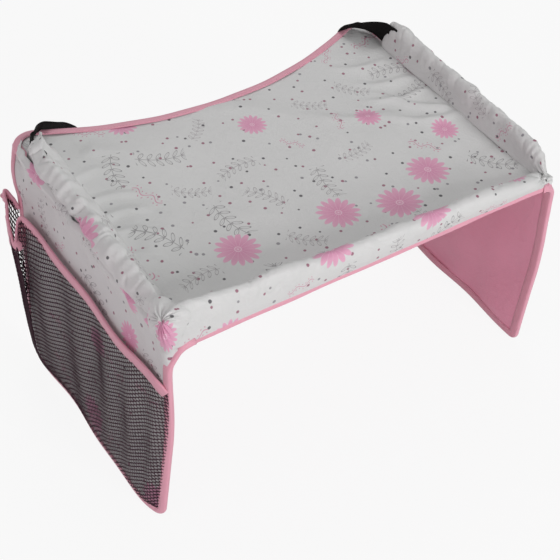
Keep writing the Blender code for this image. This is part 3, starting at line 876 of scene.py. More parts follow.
@dataclass(frozen=True)
class FoldedTape:
    """A tape folded round an edge of cloth."""

    width: float = 8.0 * MM
    opening: float = 1.6 * MM
    thickness: float = 0.7 * MM
    roll: float = 1.1 * MM
    leg_shares: tuple[Pair, ...] = ((1, 0), (0.7, 0.25 * MM), (0.3, 0.15 * MM))

    def make(
        self, name: str, edge: Points, inward: Points, facing: Points, full: Points | float = 1.0,
    ) -> Piece:
        """Folds the tape.

        Args:
            name: the piece's name.
            edge: the points of the cloth's edge.
            inward: at each point, the way from the edge into the cloth.
            facing: at each point, the way that the cloth's face looks.
            full: the tape's share of its full size at each point.

        Returns:
            The tape, with cloth coordinates along it and from its nearer edge.
        """
        inward, facing = unit(inward), unit(facing)
        half, roll = self.opening, self.roll
        leg = [(self.width * share, half + swell) for share, swell in self.leg_shares]
        angles = np.linspace(0.1, math.pi - 0.1, 7)
        turn = [(-roll * math.sin(a), half * math.cos(a)) for a in angles]
        section = leg + turn + [(x, -y) for x, y in reversed(leg)]
        full = np.reshape(full, (-1, 1))
        places = [edge + inward * x * full + facing * y * full for x, y in section]
        points = np.stack(places, axis=1)
        far = arc_length(np.array(section))
        away = np.minimum(far, far[-1] - far)
        cloth = np.stack(np.meshgrid(arc_length(edge), away, indexing="ij"), axis=2)
        piece = cloth_piece(name, points, cloth)
        thicken(piece, self.thickness)
        return piece


# Sub-assemblies

PRINTED_CLOTH = 0.9 * MM
LINING_CLOTH = 0.6 * MM
# How the tape on the front wall's foot lies: the way into the cloth, and the way its face looks.
FOOT_INWARD = np.array([0.0, 0.35, 1.0])
FOOT_FACING = np.array([0.0, -1.0, 0.35])


@dataclass(frozen=True)
class TrayOutline:
    """The tray's outline: straight sides and front, round back corners and a hollowed back edge."""

    half_width: float
    front: float
    corner_radius: float = 20 * MM
    hollow_radius: float = 400 * MM
    half_depth: float = 154 * MM
    wall_end: float = 102 * MM
    corner_points: int = 24
    hollow_points: int = 80

    @property
    def hollow_centre(self) -> float:
        """How far back the centre of the hollow lies."""
        reach, side = self.hollow_radius + self.corner_radius, self.half_width - self.corner_radius
        return self.half_depth - self.corner_radius + math.sqrt(reach**2 - side**2)

    def back(self, x: Points) -> Points:
        """The back edge's place at a distance from the middle.

        Args:
            x: distances from the middle, on either side.

        Returns:
            How far back the edge lies.
        """
        x = np.abs(x)
        side = self.half_width - self.corner_radius
        meet = side * self.hollow_radius / (self.hollow_radius + self.corner_radius)
        hollow = self.hollow_centre - np.sqrt(np.maximum(self.hollow_radius**2 - x**2, 0))
        round_reach = np.sqrt(np.maximum(self.corner_radius**2 - (x - side) ** 2, 0))
        return np.where(x < meet, hollow, self.half_depth - self.corner_radius + round_reach)

    def back_edge(self, count: int) -> Points:
        """Evenly spaced points of the back edge, from the right corner to the left one.

        Args:
            count: how many points.

        Returns:
            The points, across and back.
        """
        radius, hollow_radius = self.corner_radius, self.hollow_radius
        side, centre = self.half_width - radius, self.half_depth - radius
        meet = math.atan2(self.hollow_centre - centre, -side)
        corner = [(side + radius * math.cos(a), centre + radius * math.sin(a))
                  for a in np.linspace(0, meet, self.corner_points)]
        turns = np.linspace(meet - math.pi, -meet, self.hollow_points)[1:-1]
        hollow = [(hollow_radius * math.cos(a), self.hollow_centre + hollow_radius * math.sin(a))
                  for a in turns]
        line = corner + hollow + [(-x, y) for x, y in reversed(corner)]
        start = [(self.half_width, self.wall_end)]
        line = start + line + [(-x, y) for x, y in reversed(start)]
        return respaced(np.array(line), count)


@dataclass(frozen=True)
class Fold:
    """A soft ridge in the floor's cloth, in millimetres, steeper on one side.

    It runs past its ends by a share of its length and bends by another.
    """

    start: Pair
    end: Pair
    height: float
    width: float
    over: float = 0.25
    arch: float = 0.1
    steepness: float = 1.6
    cut: float = 40

    def at(self, x: Points, y: Points) -> Points:
        """How high the ridge stands at places, in metres.

        Args:
            x: places across the tray, in metres.
            y: places from front to back, in metres.

        Returns:
            The ridge's height at each place.
        """
        start, end = np.array(self.start) * MM, np.array(self.end) * MM
        way = end - start
        along = ((x - start[0]) * way[0] + (y - start[1]) * way[1]) / (way @ way)
        along = np.clip(along, -self.over, 1 + self.over)
        bend = self.arch * np.linalg.norm(way) * np.sin(math.pi * np.clip(along, 0, 1))
        side = np.array([-way[1], way[0]]) / np.linalg.norm(way)
        from_x, from_y = x - start[0] - along * way[0], y - start[1] - along * way[1]
        off = from_x * side[0] + from_y * side[1] - bend
        off = np.where(off < 0, off * self.steepness, off)
        near = np.hypot(from_x, from_y) < self.cut * MM
        fade = smooth((1 + self.over - along) / 0.6) * smooth((along + self.over) / self.over)
        return self.height * MM * np.exp(-((off / (self.width * MM)) ** 2)) * fade * near


@dataclass
class TrayFloor:
    """The padded floor, its pink underside and the tapes that bind its back and front edges.

    The edge's dip is a depth and its reach. The front's rise is a height, its start and its reach.
    """

    outline: TrayOutline
    looks: Looks
    top: float = 5.8 * MM
    underside: float = 0.9 * MM
    edge: float = 1.5 * MM
    pad: float = 3.6 * MM
    columns: int = 230
    rows: int = 170
    middle_columns: float = 0.65
    broad: Ripples = Ripples(95 * MM, 0.9 * MM, 4)
    fine: Ripples = Ripples(34 * MM, 0.5 * MM, 21)
    calm_half: float = 0.09
    edge_dip: Pair = (1.2 * MM, 0.006)
    front_rise: Triple = (3.0 * MM, 17 * MM, 0.038)
    front_tape_ends: Pair = (-0.19, 0.199)
    folds: tuple[Fold, ...] = (
        Fold((188, -12), (146, 40), 2.4, 6), Fold((190, -26), (132, 0), 2.6, 7),
        Fold((186, 22), (132, 34), 2.0, 5), Fold((131, 8), (62, 44), 1.5, 9),
        Fold((186, 48), (140, 62), 1.6, 6), Fold((180, 84), (128, 96), 1.4, 7),
        Fold((-190, 36), (-138, 22), 2.2, 6), Fold((-190, 10), (-146, 2), 2.8, 7),
        Fold((-190, -12), (-152, -32), 2.6, 6), Fold((-190, 66), (-150, 70), 1.6, 6),
        Fold((-188, -44), (-160, -66), 1.6, 6), Fold((-150, 96), (-110, 60), 1.2, 9),
        Fold((-20, 100), (60, 30), 1.0, 14), Fold((-110, -40), (-20, -90), 0.9, 14),
        Fold((90, -100), (160, -60), 1.0, 12),
    )

    def plan(self, inset: float) -> Points:
        """A grid of places over the tray's outline, set in from its edge.

        Args:
            inset: how far in from the edge.

        Returns:
            Rows from front to back and columns from left to right, at height 0.
        """
        share, half = np.linspace(-1, 1, self.columns), self.outline.half_width - inset
        x = half * np.sin(share * math.pi / 2) * (1 - self.middle_columns)
        x = x + half * share * self.middle_columns
        front = self.outline.front + inset
        back = self.outline.back(x) - inset
        down = np.linspace(0, 1, self.rows)[:, None]
        y = front + (back - front)[None, :] * down
        return np.stack([np.broadcast_to(x, y.shape), y, np.zeros_like(y)], axis=2)

    def relief(self, x: Points, y: Points) -> Points:
        """How far the floor's cloth stands above or below its flat level.

        Args:
            x: places across the tray, in metres.
            y: places from front to back, in metres.

        Returns:
            The height above the flat level.
        """
        level = self.broad.at(x, y)
        level += self.fine.at(x, y) * smooth((np.abs(x) - self.calm_half) / self.calm_half)
        for fold in self.folds:
            level += fold.at(x, y)
        dip, dip_reach = self.edge_dip
        level -= dip * np.exp(-(self.outline.back(x) - y) / dip_reach)
        rise, rise_start, rise_reach = self.front_rise
        level += rise * np.exp(-(y - self.outline.front - rise_start) / rise_reach)
        return level

    def build(self) -> list[Piece]:
        """Makes the floor's pieces.

        Returns:
            The pad, the underside's cloth and the two tapes.
        """
        plan = self.plan(self.edge)
        x, y = plan[..., 0], plan[..., 1]
        points = plan.copy()
        points[..., 2] = self.top + self.relief(x, y)
        pad = cloth_piece("tray_floor_pad", points, plan[..., :2])
        thicken(pad, self.pad, offset=-1.0)
        self.face_up(pad)
        self.looks.dress(pad, Slot.PRINT)
        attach(pad, "tray")
        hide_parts("floor_cover", "floor_padding", "base_board")
        lining_plan = self.plan(self.edge + 0.5 * MM)
        lining = lining_plan.copy()
        lining[..., 2] = self.underside + Ripples(60 * MM, 0.35 * MM, 11).at(x, y)
        under = cloth_piece("tray_underside_cloth", lining, lining_plan[..., :2])
        thicken(under, LINING_CLOTH)
        self.looks.dress(under, Slot.SATIN)
        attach(under, "tray")
        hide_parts("base_lining")
        return [pad, under, self.back_tape(), self.front_tape()]

    def face_up(self, pad: Piece) -> None:
        """Turns an open sheet's faces upwards.

        Args:
            pad: the sheet, changed in place.
        """
        mesh = pad.data
        if mesh.polygons[0].normal.z < 0:
            mesh.flip_normals()

    def back_tape(self) -> Piece:
        """The tape round the hollowed back edge and its corners.

        Returns:
            The tape.
        """
        path = self.outline.back_edge(260)
        tangent = unit(np.gradient(path, axis=0))
        inward = np.stack([-tangent[:, 1], tangent[:, 0], np.zeros(len(path))], axis=1)
        ripple = Ripples(50 * MM, 0.3 * MM, 5).at(arc_length(path), np.zeros(len(path)))
        height = 3.2 * MM + ripple
        edge = np.column_stack([path, height])
        up = np.tile([0.0, 0.0, 1.0], (len(path), 1))
        tape = FoldedTape(width=7.0 * MM, opening=2.9 * MM, roll=1.4 * MM)
        piece = tape.make("back_edge_tape", edge, inward, up)
        self.looks.dress(piece, Slot.TAPE)
        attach(piece, "tray")
        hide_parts("back_edge_binding")
        return piece

    def front_tape(self) -> Piece:
        """The tape along the front wall's foot.

        Returns:
            The tape.
        """
        x = np.linspace(*self.front_tape_ends, 160)
        front = self.outline.front
        y = front - 0.6 * MM + Ripples(70 * MM, 0.35 * MM, 2).at(x, np.zeros_like(x))
        z = 0.2 * MM + Ripples(120 * MM, 0.5 * MM, 6).at(x, np.zeros_like(x))
        z = z - 2.0 * MM * ramp(x, 170, 40)
        edge = np.column_stack([x, y, z])
        inward, facing = np.tile(FOOT_INWARD, (len(x), 1)), np.tile(FOOT_FACING, (len(x), 1))
        tape = FoldedTape(width=6.5 * MM, opening=1.0 * MM, roll=0.8 * MM)
        piece = tape.make("front_foot_tape", edge, inward, facing)
        self.looks.dress(piece, Slot.TAPE)
        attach(piece, "tray")
        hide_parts("front_edge_binding")
        return piece


@dataclass(frozen=True)
class Knot:
    """A tack that pulls a sleeve in and leaves pleats running out from it."""

    place: Triple
    depth: float = 4.5 * MM
    reach: float = 15 * MM
    pleats: int = 11
    pleat: float = 1.1 * MM

    def pull(self, points: Points, normals: Points) -> Points:
        """Moves points in at the knot and into pleats about it.

        Args:
            points: rows and columns of the sleeve's points.
            normals: the outward normal at each point.

        Returns:
            The moved points.
        """
        away = points - np.array(self.place)
        far = np.linalg.norm(away, axis=-1)
        near = np.exp(-((far / self.reach) ** 2))
        axis = unit(normals[np.unravel_index(far.argmin(), far.shape)])
        first = unit(np.cross(axis, [0.0, 0.0, 1.0]) + 1e-9)
        second = np.cross(axis, first)
        angle = np.arctan2(away @ second, away @ first)
        ring = near * smooth(far / (0.25 * self.reach))
        folds = self.pleat * np.sin(self.pleats * angle + 1.7 * np.sin(2 * angle)) * ring
        dimple = -self.depth * np.exp(-((far / (0.42 * self.reach)) ** 2))
        return points + normals * (folds + dimple)[..., None]


@dataclass
class WallSleeve:
    """A padded wall: a closed sleeve lofted through sections, with wrinkles and knots."""

    name: str
    looks: Looks
    axis: int
    sections: Sequence[tuple[float, Sequence[Pair]]]
    nodes: tuple[str, ...]
    knots: tuple[Knot, ...]
    seed: int
    stations: int = 210
    around: int = 72
    wrinkle: float = 0.9 * MM
    end_taper: float = 5 * MM
    end_shrink: float = 0.16
    gathered: Pair = (0.0, 0.0)
    gather_pitch: float = 6.4 * MM
    gather_depth: float = 0.38 * MM

    def section(self, along: float) -> Points:
        """The closed section at a distance along the wall, as (across, up).

        Args:
            along: the distance along the wall.

        Returns:
            The section's points, the last one the same as the first.
        """
        places = [s[0] for s in self.sections]
        loops = np.array([s[1] for s in self.sections])
        knots = np.array([[np.interp(along, places, loops[:, i, k]) for k in range(2)]
                          for i in range(loops.shape[1])])
        closed = np.vstack([knots[-1:], knots, knots[:2]])
        dense = through([(x, z, 0) for x, z in closed], 16 * len(closed))[:, :2]
        return self.closed_part(dense, knots[0])

    def closed_part(self, dense: Points, start: Points) -> Points:
        """One turn of a curve that passes its start twice, evenly spaced.

        Args:
            dense: the curve's points.
            start: the point that it passes twice.

        Returns:
            The points of one turn.
        """
        gap = np.linalg.norm(dense - start, axis=1)
        first = gap[: len(gap) // 2].argmin()
        last = len(gap) // 2 + gap[len(gap) // 2:].argmin()
        return respaced(np.vstack([dense[first:last], start[None]]), self.around + 1)

    def build(self, body: str = "tray") -> Piece:
        """Makes the sleeve and fixes it to a body.

        Args:
            body: the body that the wall belongs to.

        Returns:
            The sleeve.
        """
        first, last = self.sections[0][0], self.sections[-1][0]
        places = np.linspace(first, last, self.stations)
        loops = np.stack([self.section(place) for place in places])
        middle = loops[:, :-1].mean(axis=1, keepdims=True)
        ends = np.minimum(places - first, last - places)
        shrink = 1 - self.end_shrink * np.clip(1 - ends / self.end_taper, 0, 1) ** 2
        loops = middle + (loops - middle) * shrink[:, None, None]
        origin, across, up = frames_along(self.axis, places)
        points = origin[:, None] + across[:, None] * loops[..., :1] + up[:, None] * loops[..., 1:]
        cloth = grid_cloth(points)
        u, v = cloth[..., 0], cloth[..., 1]
        normals = self.normals(points)
        free = ramp(loops[..., 1], 12, 14)
        patch = smooth(0.5 + Ripples(70 * MM, 1.0, self.seed + 3).at(u, v))
        folds = Ripples(24 * MM, 0.8 * self.wrinkle, self.seed, stretch=2.4)
        creases = Ripples(17 * MM, 1.1 * self.wrinkle, self.seed + 1, stretch=2.0, pinched=True)
        fine = Ripples(9 * MM, 0.35 * self.wrinkle, self.seed + 4, stretch=2.0)
        broad = Ripples(75 * MM, 1.3 * self.wrinkle, self.seed + 2)
        relief = folds.at(u, v) * free
        relief -= creases.at(u, v) * free * patch
        relief += fine.at(u, v) * free * (1 - patch)
        relief += broad.at(u, v) * (0.3 + 0.7 * free)
        if self.gathered[1] < 0:
            start, end = self.gathered
            inside = ramp(places - start, 0, 8) * ramp(end - places, 0, 12)
            swayed = places[:, None] + 2.5 * MM * np.sin(55 * v)
            bands = np.sin(2 * math.pi * swayed / self.gather_pitch)
            relief += self.gather_depth * bands * inside[:, None] * free
        relief[:, -1] = relief[:, 0]
        points = points + normals * relief[..., None]
        for knot in self.knots:
            points = knot.pull(points, self.normals(points))
        points[:, -1] = points[:, 0]
        cloth[..., 0] += 0.37 * self.seed
        piece = cloth_piece(f"{self.name}_sleeve", points, cloth, wrap=True, caps=True)
        self.looks.dress(piece, Slot.PRINT)
        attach(piece, body)
        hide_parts(*self.nodes)
        return piece

    def normals(self, points: Points) -> Points:
        """The outward normals of the sleeve.

        Args:
            points: the sleeve's points, round each row.

        Returns:
            The normal at each point, of length 1.
        """
        closed = np.concatenate([points[:, -2:-1], points, points[:, 1:2]], axis=1)
        found = surface_normals(closed)[:, 1:-1]
        centre = points[:, :-1].mean(axis=1, keepdims=True)
        out = ((points - centre) * found).sum(axis=-1).mean()
        return found if out > 0 else -found


def frames_along(axis: int, places: Points) -> tuple[Points, Points, Points]:
    """The frames of a wall's sections, which stand across the x axis (0) or the y axis (1).

    Args:
        axis: the number of the wall's axis.
        places: the sections' places along it.

    Returns:
        Each section's origin, its way across and its way up.
    """
    origin, across, up = (np.zeros((len(places), 3)) for _ in range(3))
    origin[:, axis], across[:, 1 - axis], up[:, 2] = places, 1.0, 1.0
    return origin, across, up


def in_metres(knots: Sequence[Pair]) -> tuple[Pair, ...]:
    """A section's knots from millimetres to metres."""
    return tuple((across * MM, up * MM) for across, up in knots)


@dataclass
class CornerGather:
    """The cloth drawn to a tack on the front left corner, in pleats. Places in millimetres."""

    looks: Looks
    tack: Triple = (-218, -149.5, 38)
    middle: Triple = (-203, -140, 22)
    rim: tuple[Triple, ...] = (
        (-217.5, -128, 30), (-213, -126, 38.5), (-205, -129, 41.5), (-201, -138, 42),
        (-200, -147, 44.5), (-193, -154.4, 38), (-197, -155.2, 27), (-203, -155.4, 14),
        (-209.5, -154.6, 4), (-213.6, -149, -4), (-216, -138, 3), (-218.6, -129, 14),
    )
    around: int = 180
    rings: int = 40
    pleats: int = 17
    pleat: float = 0.9 * MM
    swell: float = 2.2 * MM
    dimple: float = 3.2 * MM

    def build(self) -> Piece:
        """Makes the gathered cloth.

        Returns:
            The gathered cloth.
        """
        rim = through([*self.rim, self.rim[0]], self.around + 1) * MM
        tack, middle = np.array(self.tack) * MM, np.array(self.middle) * MM
        out = np.linspace(0.02, 1, self.rings)[:, None]
        turn = np.linspace(0, 2 * math.pi, self.around + 1)[None, :]
        points = tack + (rim - tack)[None] * out[..., None]
        away = unit(points - middle)
        swell = self.swell * np.sin(math.pi * out) - self.dimple * np.exp(-((out / 0.13) ** 2))
        folds = np.sin(self.pleats * turn + 1.3 * np.sin(3 * turn))
        folds = folds * np.exp(-((out - 0.3) / 0.3) ** 2)
        points = points + away * (swell + self.pleat * folds)[..., None]
        cloth = np.stack([out * 0.03 * np.cos(turn) + 1.9, out * 0.03 * np.sin(turn) + 0.4], axis=2)
        piece = cloth_piece("front_left_corner_pleats", points, cloth, wrap=True)
        thicken(piece, 0.8 * MM, offset=-1.0)
        self.looks.dress(piece, Slot.PRINT)
        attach(piece, "tray")
        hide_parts("front_left_corner_gather")
        return piece


@dataclass
class Walls:
    """The three padded walls, lofted through stations read from the photograph, in millimetres."""

    looks: Looks
    left: tuple[tuple[float, ...], ...] = (
        (-151, 193, 203, 34, 24, 0), (-143, 192, 201, 40, 28, 0), (-107, 191, 199, 38.5, 20, 0),
        (-52, 187, 195, 37.5, 21, 0), (0, 185.5, 194, 38, 24, 0), (48, 186, 194, 38.5, 26, 0),
        (78, 184, 192, 39.5, 26, 0), (92, 182, 190, 41.5, 28, 5), (104, 182, 188, 42.5, 30, 12),
        (113, 185, 190, 40, 28, 17),
    )
    right: tuple[tuple[float, ...], ...] = (
        (-152, 13, 16), (-145, 22, 11), (-136, 30, 7), (-124, 34, 5.5), (-104, 35, 6.2),
        (-80, 36, 5.5), (-36, 37, 4.2), (2, 35.5, 4.5), (56, 38.5, 2.2), (95, 38.5, 1.3),
        (105, 37.5, 1),
    )
    front: tuple[tuple[float, ...], ...] = (
        (-211, 36, -2), (-205, 44, 0), (-190, 46, 1), (-163, 42, 1.5), (-132, 37.5, 2),
        (-107, 39, 2), (-63, 33, 3), (-17, 32.5, 3), (23, 29.2, 3), (62, 29.2, 4), (105, 28.7, 5),
        (149, 25, 5), (180, 20.5, 5), (192, 17, 3), (200, 13, 0),
    )

    def left_section(
        self, crease: float, inner: float, apex: float, seam: float, draw: float,
    ) -> tuple[Pair, ...]:
        """The left wall's closed section, from the floor's crease up, over and down outside.

        Args:
            crease: how far from the middle the floor meets the wall.
            inner: how far from the middle the wall's inner face stands.
            apex: the top's height.
            seam: the outer seam's height.
            draw: how far in the outside is drawn.

        Returns:
            The section's knots in metres.
        """
        return in_metres((
            (-crease, 6.4), (-crease + 0.3, 13), (-inner + 1, 23), (-inner - 4.5, apex - 7),
            (-204.5 + draw * 0.75, apex), (-212.8 + draw, apex - 3),
            (-219.0 + draw * 0.9, seam + 5), (-216.8 + draw * 0.6, seam - 2),
            (-213.6 + draw * 0.2, 8), (-210.5 + draw * 0.2, 6.2), (-200 + draw * 0.1, 6.2),
        ))

    def right_section(self, apex: float, draw: float) -> tuple[Pair, ...]:
        """The right wall's closed section, from the floor's crease up, over and down outside.

        Args:
            apex: the top's height.
            draw: how far in the outside is drawn.

        Returns:
            The section's knots in metres.
        """
        return in_metres((
            (196, 6.4), (196.4, apex * 0.34), (197.4, apex * 0.6),
            (199.6 - draw * 0.2, apex * 0.84), (206.4 - draw * 0.6, apex),
            (212.6 - draw, apex * 0.94), (216.2 - draw, apex * 0.76), (216.6 - draw, apex * 0.5),
            (213.6 - draw * 0.7, 8), (210.5 - draw * 0.6, 6.2), (203, 6.2),
        ))

    def front_section(self, apex: float, lean: float) -> tuple[Pair, ...]:
        """The front wall's closed section, from the floor's crease up, over and down to the tape.

        Args:
            apex: the top's height.
            lean: how far the wall leans outwards.

        Returns:
            The section's knots in metres.
        """
        return in_metres((
            (-135.5, 6.3), (-135.8, apex * 0.3 + 2), (-137.5 - lean * 0.5, apex * 0.66),
            (-140.5 - lean * 0.8, apex * 0.9), (-145.5 - lean, apex), (-150.5 - lean, apex * 0.92),
            (-153.6 - lean * 0.8, apex * 0.66), (-154.2 - lean * 0.4, apex * 0.34), (-153.8, 3.0),
            (-152.3, 1.4), (-150.8, 5.8), (-143, 6.2),
        ))

    def build(self) -> list[Piece]:
        """Makes the three walls.

        Returns:
            The left, right and front sleeves and the corner's gathered cloth.
        """
        left_knot = Knot((-0.2125, -0.1475, 0.03))
        right_knot = Knot((0.1945, -0.1515, 0.0125), depth=4 * MM, reach=12 * MM)
        left = WallSleeve(
            "left_wall", self.looks, 1,
            [(s[0] * MM, self.left_section(*s[1:])) for s in self.left],
            ("left_wall_cover", "left_wall_foam"), (left_knot,), seed=3, wrinkle=1.8 * MM,
        )
        right = WallSleeve(
            "right_wall", self.looks, 1,
            [(s[0] * MM, self.right_section(*s[1:])) for s in self.right],
            ("right_wall_cover", "right_wall_foam"), (right_knot,), seed=12,
            gathered=(-0.154, -0.116),
        )
        front = WallSleeve(
            "front_wall", self.looks, 0,
            [(s[0] * MM, self.front_section(*s[1:])) for s in self.front],
            ("front_wall_cover", "front_wall_foam", "front_right_corner_gather"),
            (left_knot, right_knot), seed=7, stations=300,
        )
        return [left.build(), right.build(), front.build(), CornerGather(self.looks).build()]


@dataclass(frozen=True)
class NetWeave:
    """A knitted net: rows of chain stitches on the cloth's bias, with thin links between them."""

    row_pitch: float = 3.8 * MM
    link_pitch: float = 4.3 * MM
    slant: float = math.radians(39)
    zigzag: float = 0.35 * MM
    chain: Pair = (0.75 * MM, 0.38 * MM)
    link: Pair = (0.42 * MM, 0.24 * MM)
    sides: int = 5
    ease: float = 0.3

    def pieces(self, width: float, height: float) -> tuple[Points, Points]:
        """The threads' short lengths over a flat cut of the net.

        Args:
            width: the cut's width.
            height: the cut's height.

        Returns:
            The chains' lengths and the links' lengths, each a start and an end along and down.
        """
        reach = math.hypot(width, height)
        row_count = int(reach / self.row_pitch) + 1
        step_count = int(reach / self.link_pitch) * 2 + 2
        rows = np.arange(-row_count, row_count + 1)
        steps = np.arange(-step_count, step_count + 1)
        row, step = np.meshgrid(rows, steps, indexing="ij")
        rise = np.where((row + step) % 2 == 0, self.zigzag, -self.zigzag)
        along, across = step * self.link_pitch / 2, row * self.row_pitch + rise
        c, s = math.cos(self.slant), math.sin(self.slant)
        knots = np.stack([along * c - across * s, along * s + across * c], axis=2)
        knots[..., 1] -= self.ease * knots[..., 0] * np.abs(knots[..., 0]) / width
        chains = np.stack([knots[:, :-1], knots[:, 1:]], axis=2).reshape(-1, 2, 2)
        linked = ((row + step) % 2 == 0)[:-1]
        links = np.stack([knots[:-1], knots[1:]], axis=2)[linked]
        size = np.array([width, height])
        return self.clipped(chains, size), self.clipped(links, size)

    def clipped(self, pairs: Points, size: Points) -> Points:
        """The parts of straight lengths that lie within the cut.

        Args:
            pairs: each length's start and end.
            size: the cut's width and height.

        Returns:
            The start and end of each part that lies within.
        """
        start, way = pairs[:, 0], pairs[:, 1] - pairs[:, 0]
        safe = np.where(np.abs(way) < 1e-9, 1e-9, way)
        one, two = (0 - start) / safe, (size - start) / safe
        enter = np.clip(np.minimum(one, two).max(axis=1), 0, 1)
        leave = np.clip(np.maximum(one, two).min(axis=1), 0, 1)
        keep = leave - enter > 0.02
        start, way, enter, leave = start[keep], way[keep], enter[keep], leave[keep]
        return np.stack([start + way * enter[:, None], start + way * leave[:, None]], axis=1)

    def prisms(self, ends: Points, normals: Points, half: Pair) -> tuple[Points, Points]:
        """Flattened prisms along straight lengths.

        Args:
            ends: each length's start and end.
            normals: the cloth's normal at each length.
            half: half the thread's width and half its thickness.

        Returns:
            The corner points, and the faces as their numbers.
        """
        way = unit(ends[:, 1] - ends[:, 0])
        side = unit(np.cross(normals, way))
        turn = np.arange(self.sides) * 2 * math.pi / self.sides
        ring = side[:, None] * (half[0] * np.cos(turn))[None, :, None]
        ring = ring + normals[:, None] * (half[1] * np.sin(turn))[None, :, None]
        over = way * half[1] * 0.5
        first = (ends[:, 0] - over)[:, None] + ring
        last = (ends[:, 1] + over)[:, None] + ring
        verts = np.stack([first, last], axis=1).reshape(-1, 3)
        base = (np.arange(len(ends)) * 2 * self.sides)[:, None]
        k = np.arange(self.sides)
        after = (k + 1) % self.sides
        far = base + self.sides
        faces = np.stack([base + k, base + after, far + after, far + k], axis=2)
        return verts, faces.reshape(-1, 4)


@dataclass
class SideFlap:
    """A side: the cloth outside the wall and over the flap, its lining, tape and net pocket."""

    side: Side
    looks: Looks
    profile: tuple[Pair, ...]
    seam: tuple[Pair, ...]
    mouth: tuple[Triple, ...]
    foot_run: tuple[Triple, ...]
    curl: float
    wrap: float
    seed: int
    bow: tuple[Pair, ...] = ((-40, 0), (-224, 0))
    draw: tuple[Pair, ...] = ((-153, 0), (105, 0))
    foot_corner: float = 24 * MM
    wrap_foot: float = 9 * MM
    curl_reach: float = 16 * MM
    back_draw: float = 9 * MM
    tape_width: float = 8.5 * MM
    mouth_width: float = 7.3 * MM
    fold_share: float = 0.72
    back_line: tuple[Pair, ...] = (
        (5, 150), (0, 150), (-8, 148), (-20, 142), (-33, 133), (-41, 125), (-50, 116), (-62, 109),
        (-80, 104), (-110, 99), (-140, 97), (-225, 96),
    )
    front: float = -153 * MM
    back: float = 96 * MM
    drop: float = 224 * MM
    corner: float = 8 * MM
    hinge: Pair = (4 * MM, -12 * MM)
    columns: int = 130
    straight_rows: int = 120
    tape_points: int = 460
    corner_eased: int = 40
    mouth_points: int = 320
    mouth_drop: float = 50 * MM
    weave: NetWeave = NetWeave()
    thread_share: float = 0.6

    def back_at(self, z: Points) -> Points:
        """How far back the side's cloth reaches at a height."""
        line = np.array(self.back_line)[::-1] * MM
        return np.interp(z, line[:, 0], line[:, 1])

    def outside(self, y: Points, z: Points, offset: float = 0.0) -> Points:
        """The side's outer face.

        Args:
            y: places along the side.
            z: heights.
            offset: how far outwards from the face.

        Returns:
            The points of the face, or of a layer beside it.
        """
        y, z = np.broadcast_arrays(y, z)
        knots = np.array(self.profile)[::-1] * MM
        reach = np.interp(z, knots[:, 0], knots[:, 1])
        # The front edge curls inwards lower down, and the cloth narrows to the back corner.
        curled = self.curl * np.exp(-(y - self.front) / self.curl_reach) * ramp(-z, 0, 130)
        reach = reach - curled - self.back_draw * ramp(y, 92, 58) * ramp(z, -30, 40)
        # It wraps round the wall's front end.
        round_in = np.clip((self.front + self.wrap - y) / self.wrap, 0, 1)
        above = smooth((z + self.wrap_foot) / (self.wrap_foot + 3 * MM))
        reach = reach - self.wrap * (1 - np.sqrt(1 - 0.999 * round_in**2)) * above
        # It bows outwards below the fold and is drawn in above it.
        low, bowed = np.array(self.bow).T * MM
        reach = reach + np.interp(z, low[::-1], bowed[::-1]) * ramp(y, 20, 70)
        reach = reach - np.interp(y, *np.array(self.draw).T * MM) * ramp(z, 2, 14)
        # It ripples, with fine and slanted pleats above the fold.
        broad = Ripples(120 * MM, 1.3 * MM, self.seed)
        reach = reach + broad.at(y, z) * ramp(-z, -5, 40)
        fine = Ripples(16 * MM, 0.8 * MM, self.seed + 9, stretch=3.0)
        slanted = Ripples(42 * MM, 1.1 * MM, self.seed + 4, stretch=2.2)
        pleats = fine.at(y, z) * ramp(z, -12, 20)
        pleats = pleats + slanted.at(y - 0.6 * z, z) * ramp(z, -30, 24)
        return np.stack([self.side.value * (reach + pleats + offset), y, z], axis=-1)

    def levels(self, top: float) -> Points:
        """Heights of the rows, from the top to the lower edge.

        Args:
            top: the height of the first row.

        Returns:
            The rows' heights.
        """
        straight = np.linspace(top, self.corner - self.drop, self.straight_rows)
        turn = -self.drop + self.corner * (1 - np.sin(np.linspace(0, math.pi / 2, 14)[1:]))
        return np.concatenate([straight, turn])

    def corner_inset(self, z: Points, radius: float, low: float) -> Points:
        """How far a rounded lower corner draws the edge in at a height."""
        over = np.clip(radius - (z - low), 0, radius)
        return radius - np.sqrt(radius**2 - over**2)

    def flap_grid(self, top: float, offset: float, inset: float = 0.0) -> tuple[Points, Points]:
        """A layer of the side from a height down to the flap's lower edge.

        Args:
            top: the height of the first row, or less where it follows the seam.
            offset: how far outwards from the outer face.
            inset: how far in from the flap's edge.

        Returns:
            The points, and their cloth coordinates.
        """
        z = self.levels(top)[:, None]
        draw = self.corner_inset(z, self.corner, -self.drop) + inset
        back_draw = self.corner_inset(z, self.foot_corner, -self.drop) + inset
        share = np.linspace(0, 1, self.columns)[None, :]
        share = share * 0.8 + 0.2 * smooth(share)
        front = self.front + draw
        y = front + (self.back_at(z) - back_draw - front) * share
        z = np.broadcast_to(z, y.shape)
        if top > 5 * MM:
            seam = np.array(self.seam) * MM
            height = np.interp(y, seam[:, 0], seam[:, 1])
            z = np.where(z > 0, z * height / top, z)
            offset = offset - 5.2 * MM * smooth((z - height) / (4.5 * MM) + 1)
        return self.outside(y, z, offset), np.stack([y + 0.5 * self.side.value, z], axis=2)

    def build(self) -> list[Piece]:
        """Makes the side's pieces."""
        return [self.cover(), self.lining(), self.edge_tape(), self.net(), self.mouth_tape()]

    def bend(self, piece: Piece) -> None:
        """Applies a piece's modifiers and bakes its place into its mesh.

        Args:
            piece: the piece, whose modifiers are applied first.
        """
        settle(piece)
        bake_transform(piece)

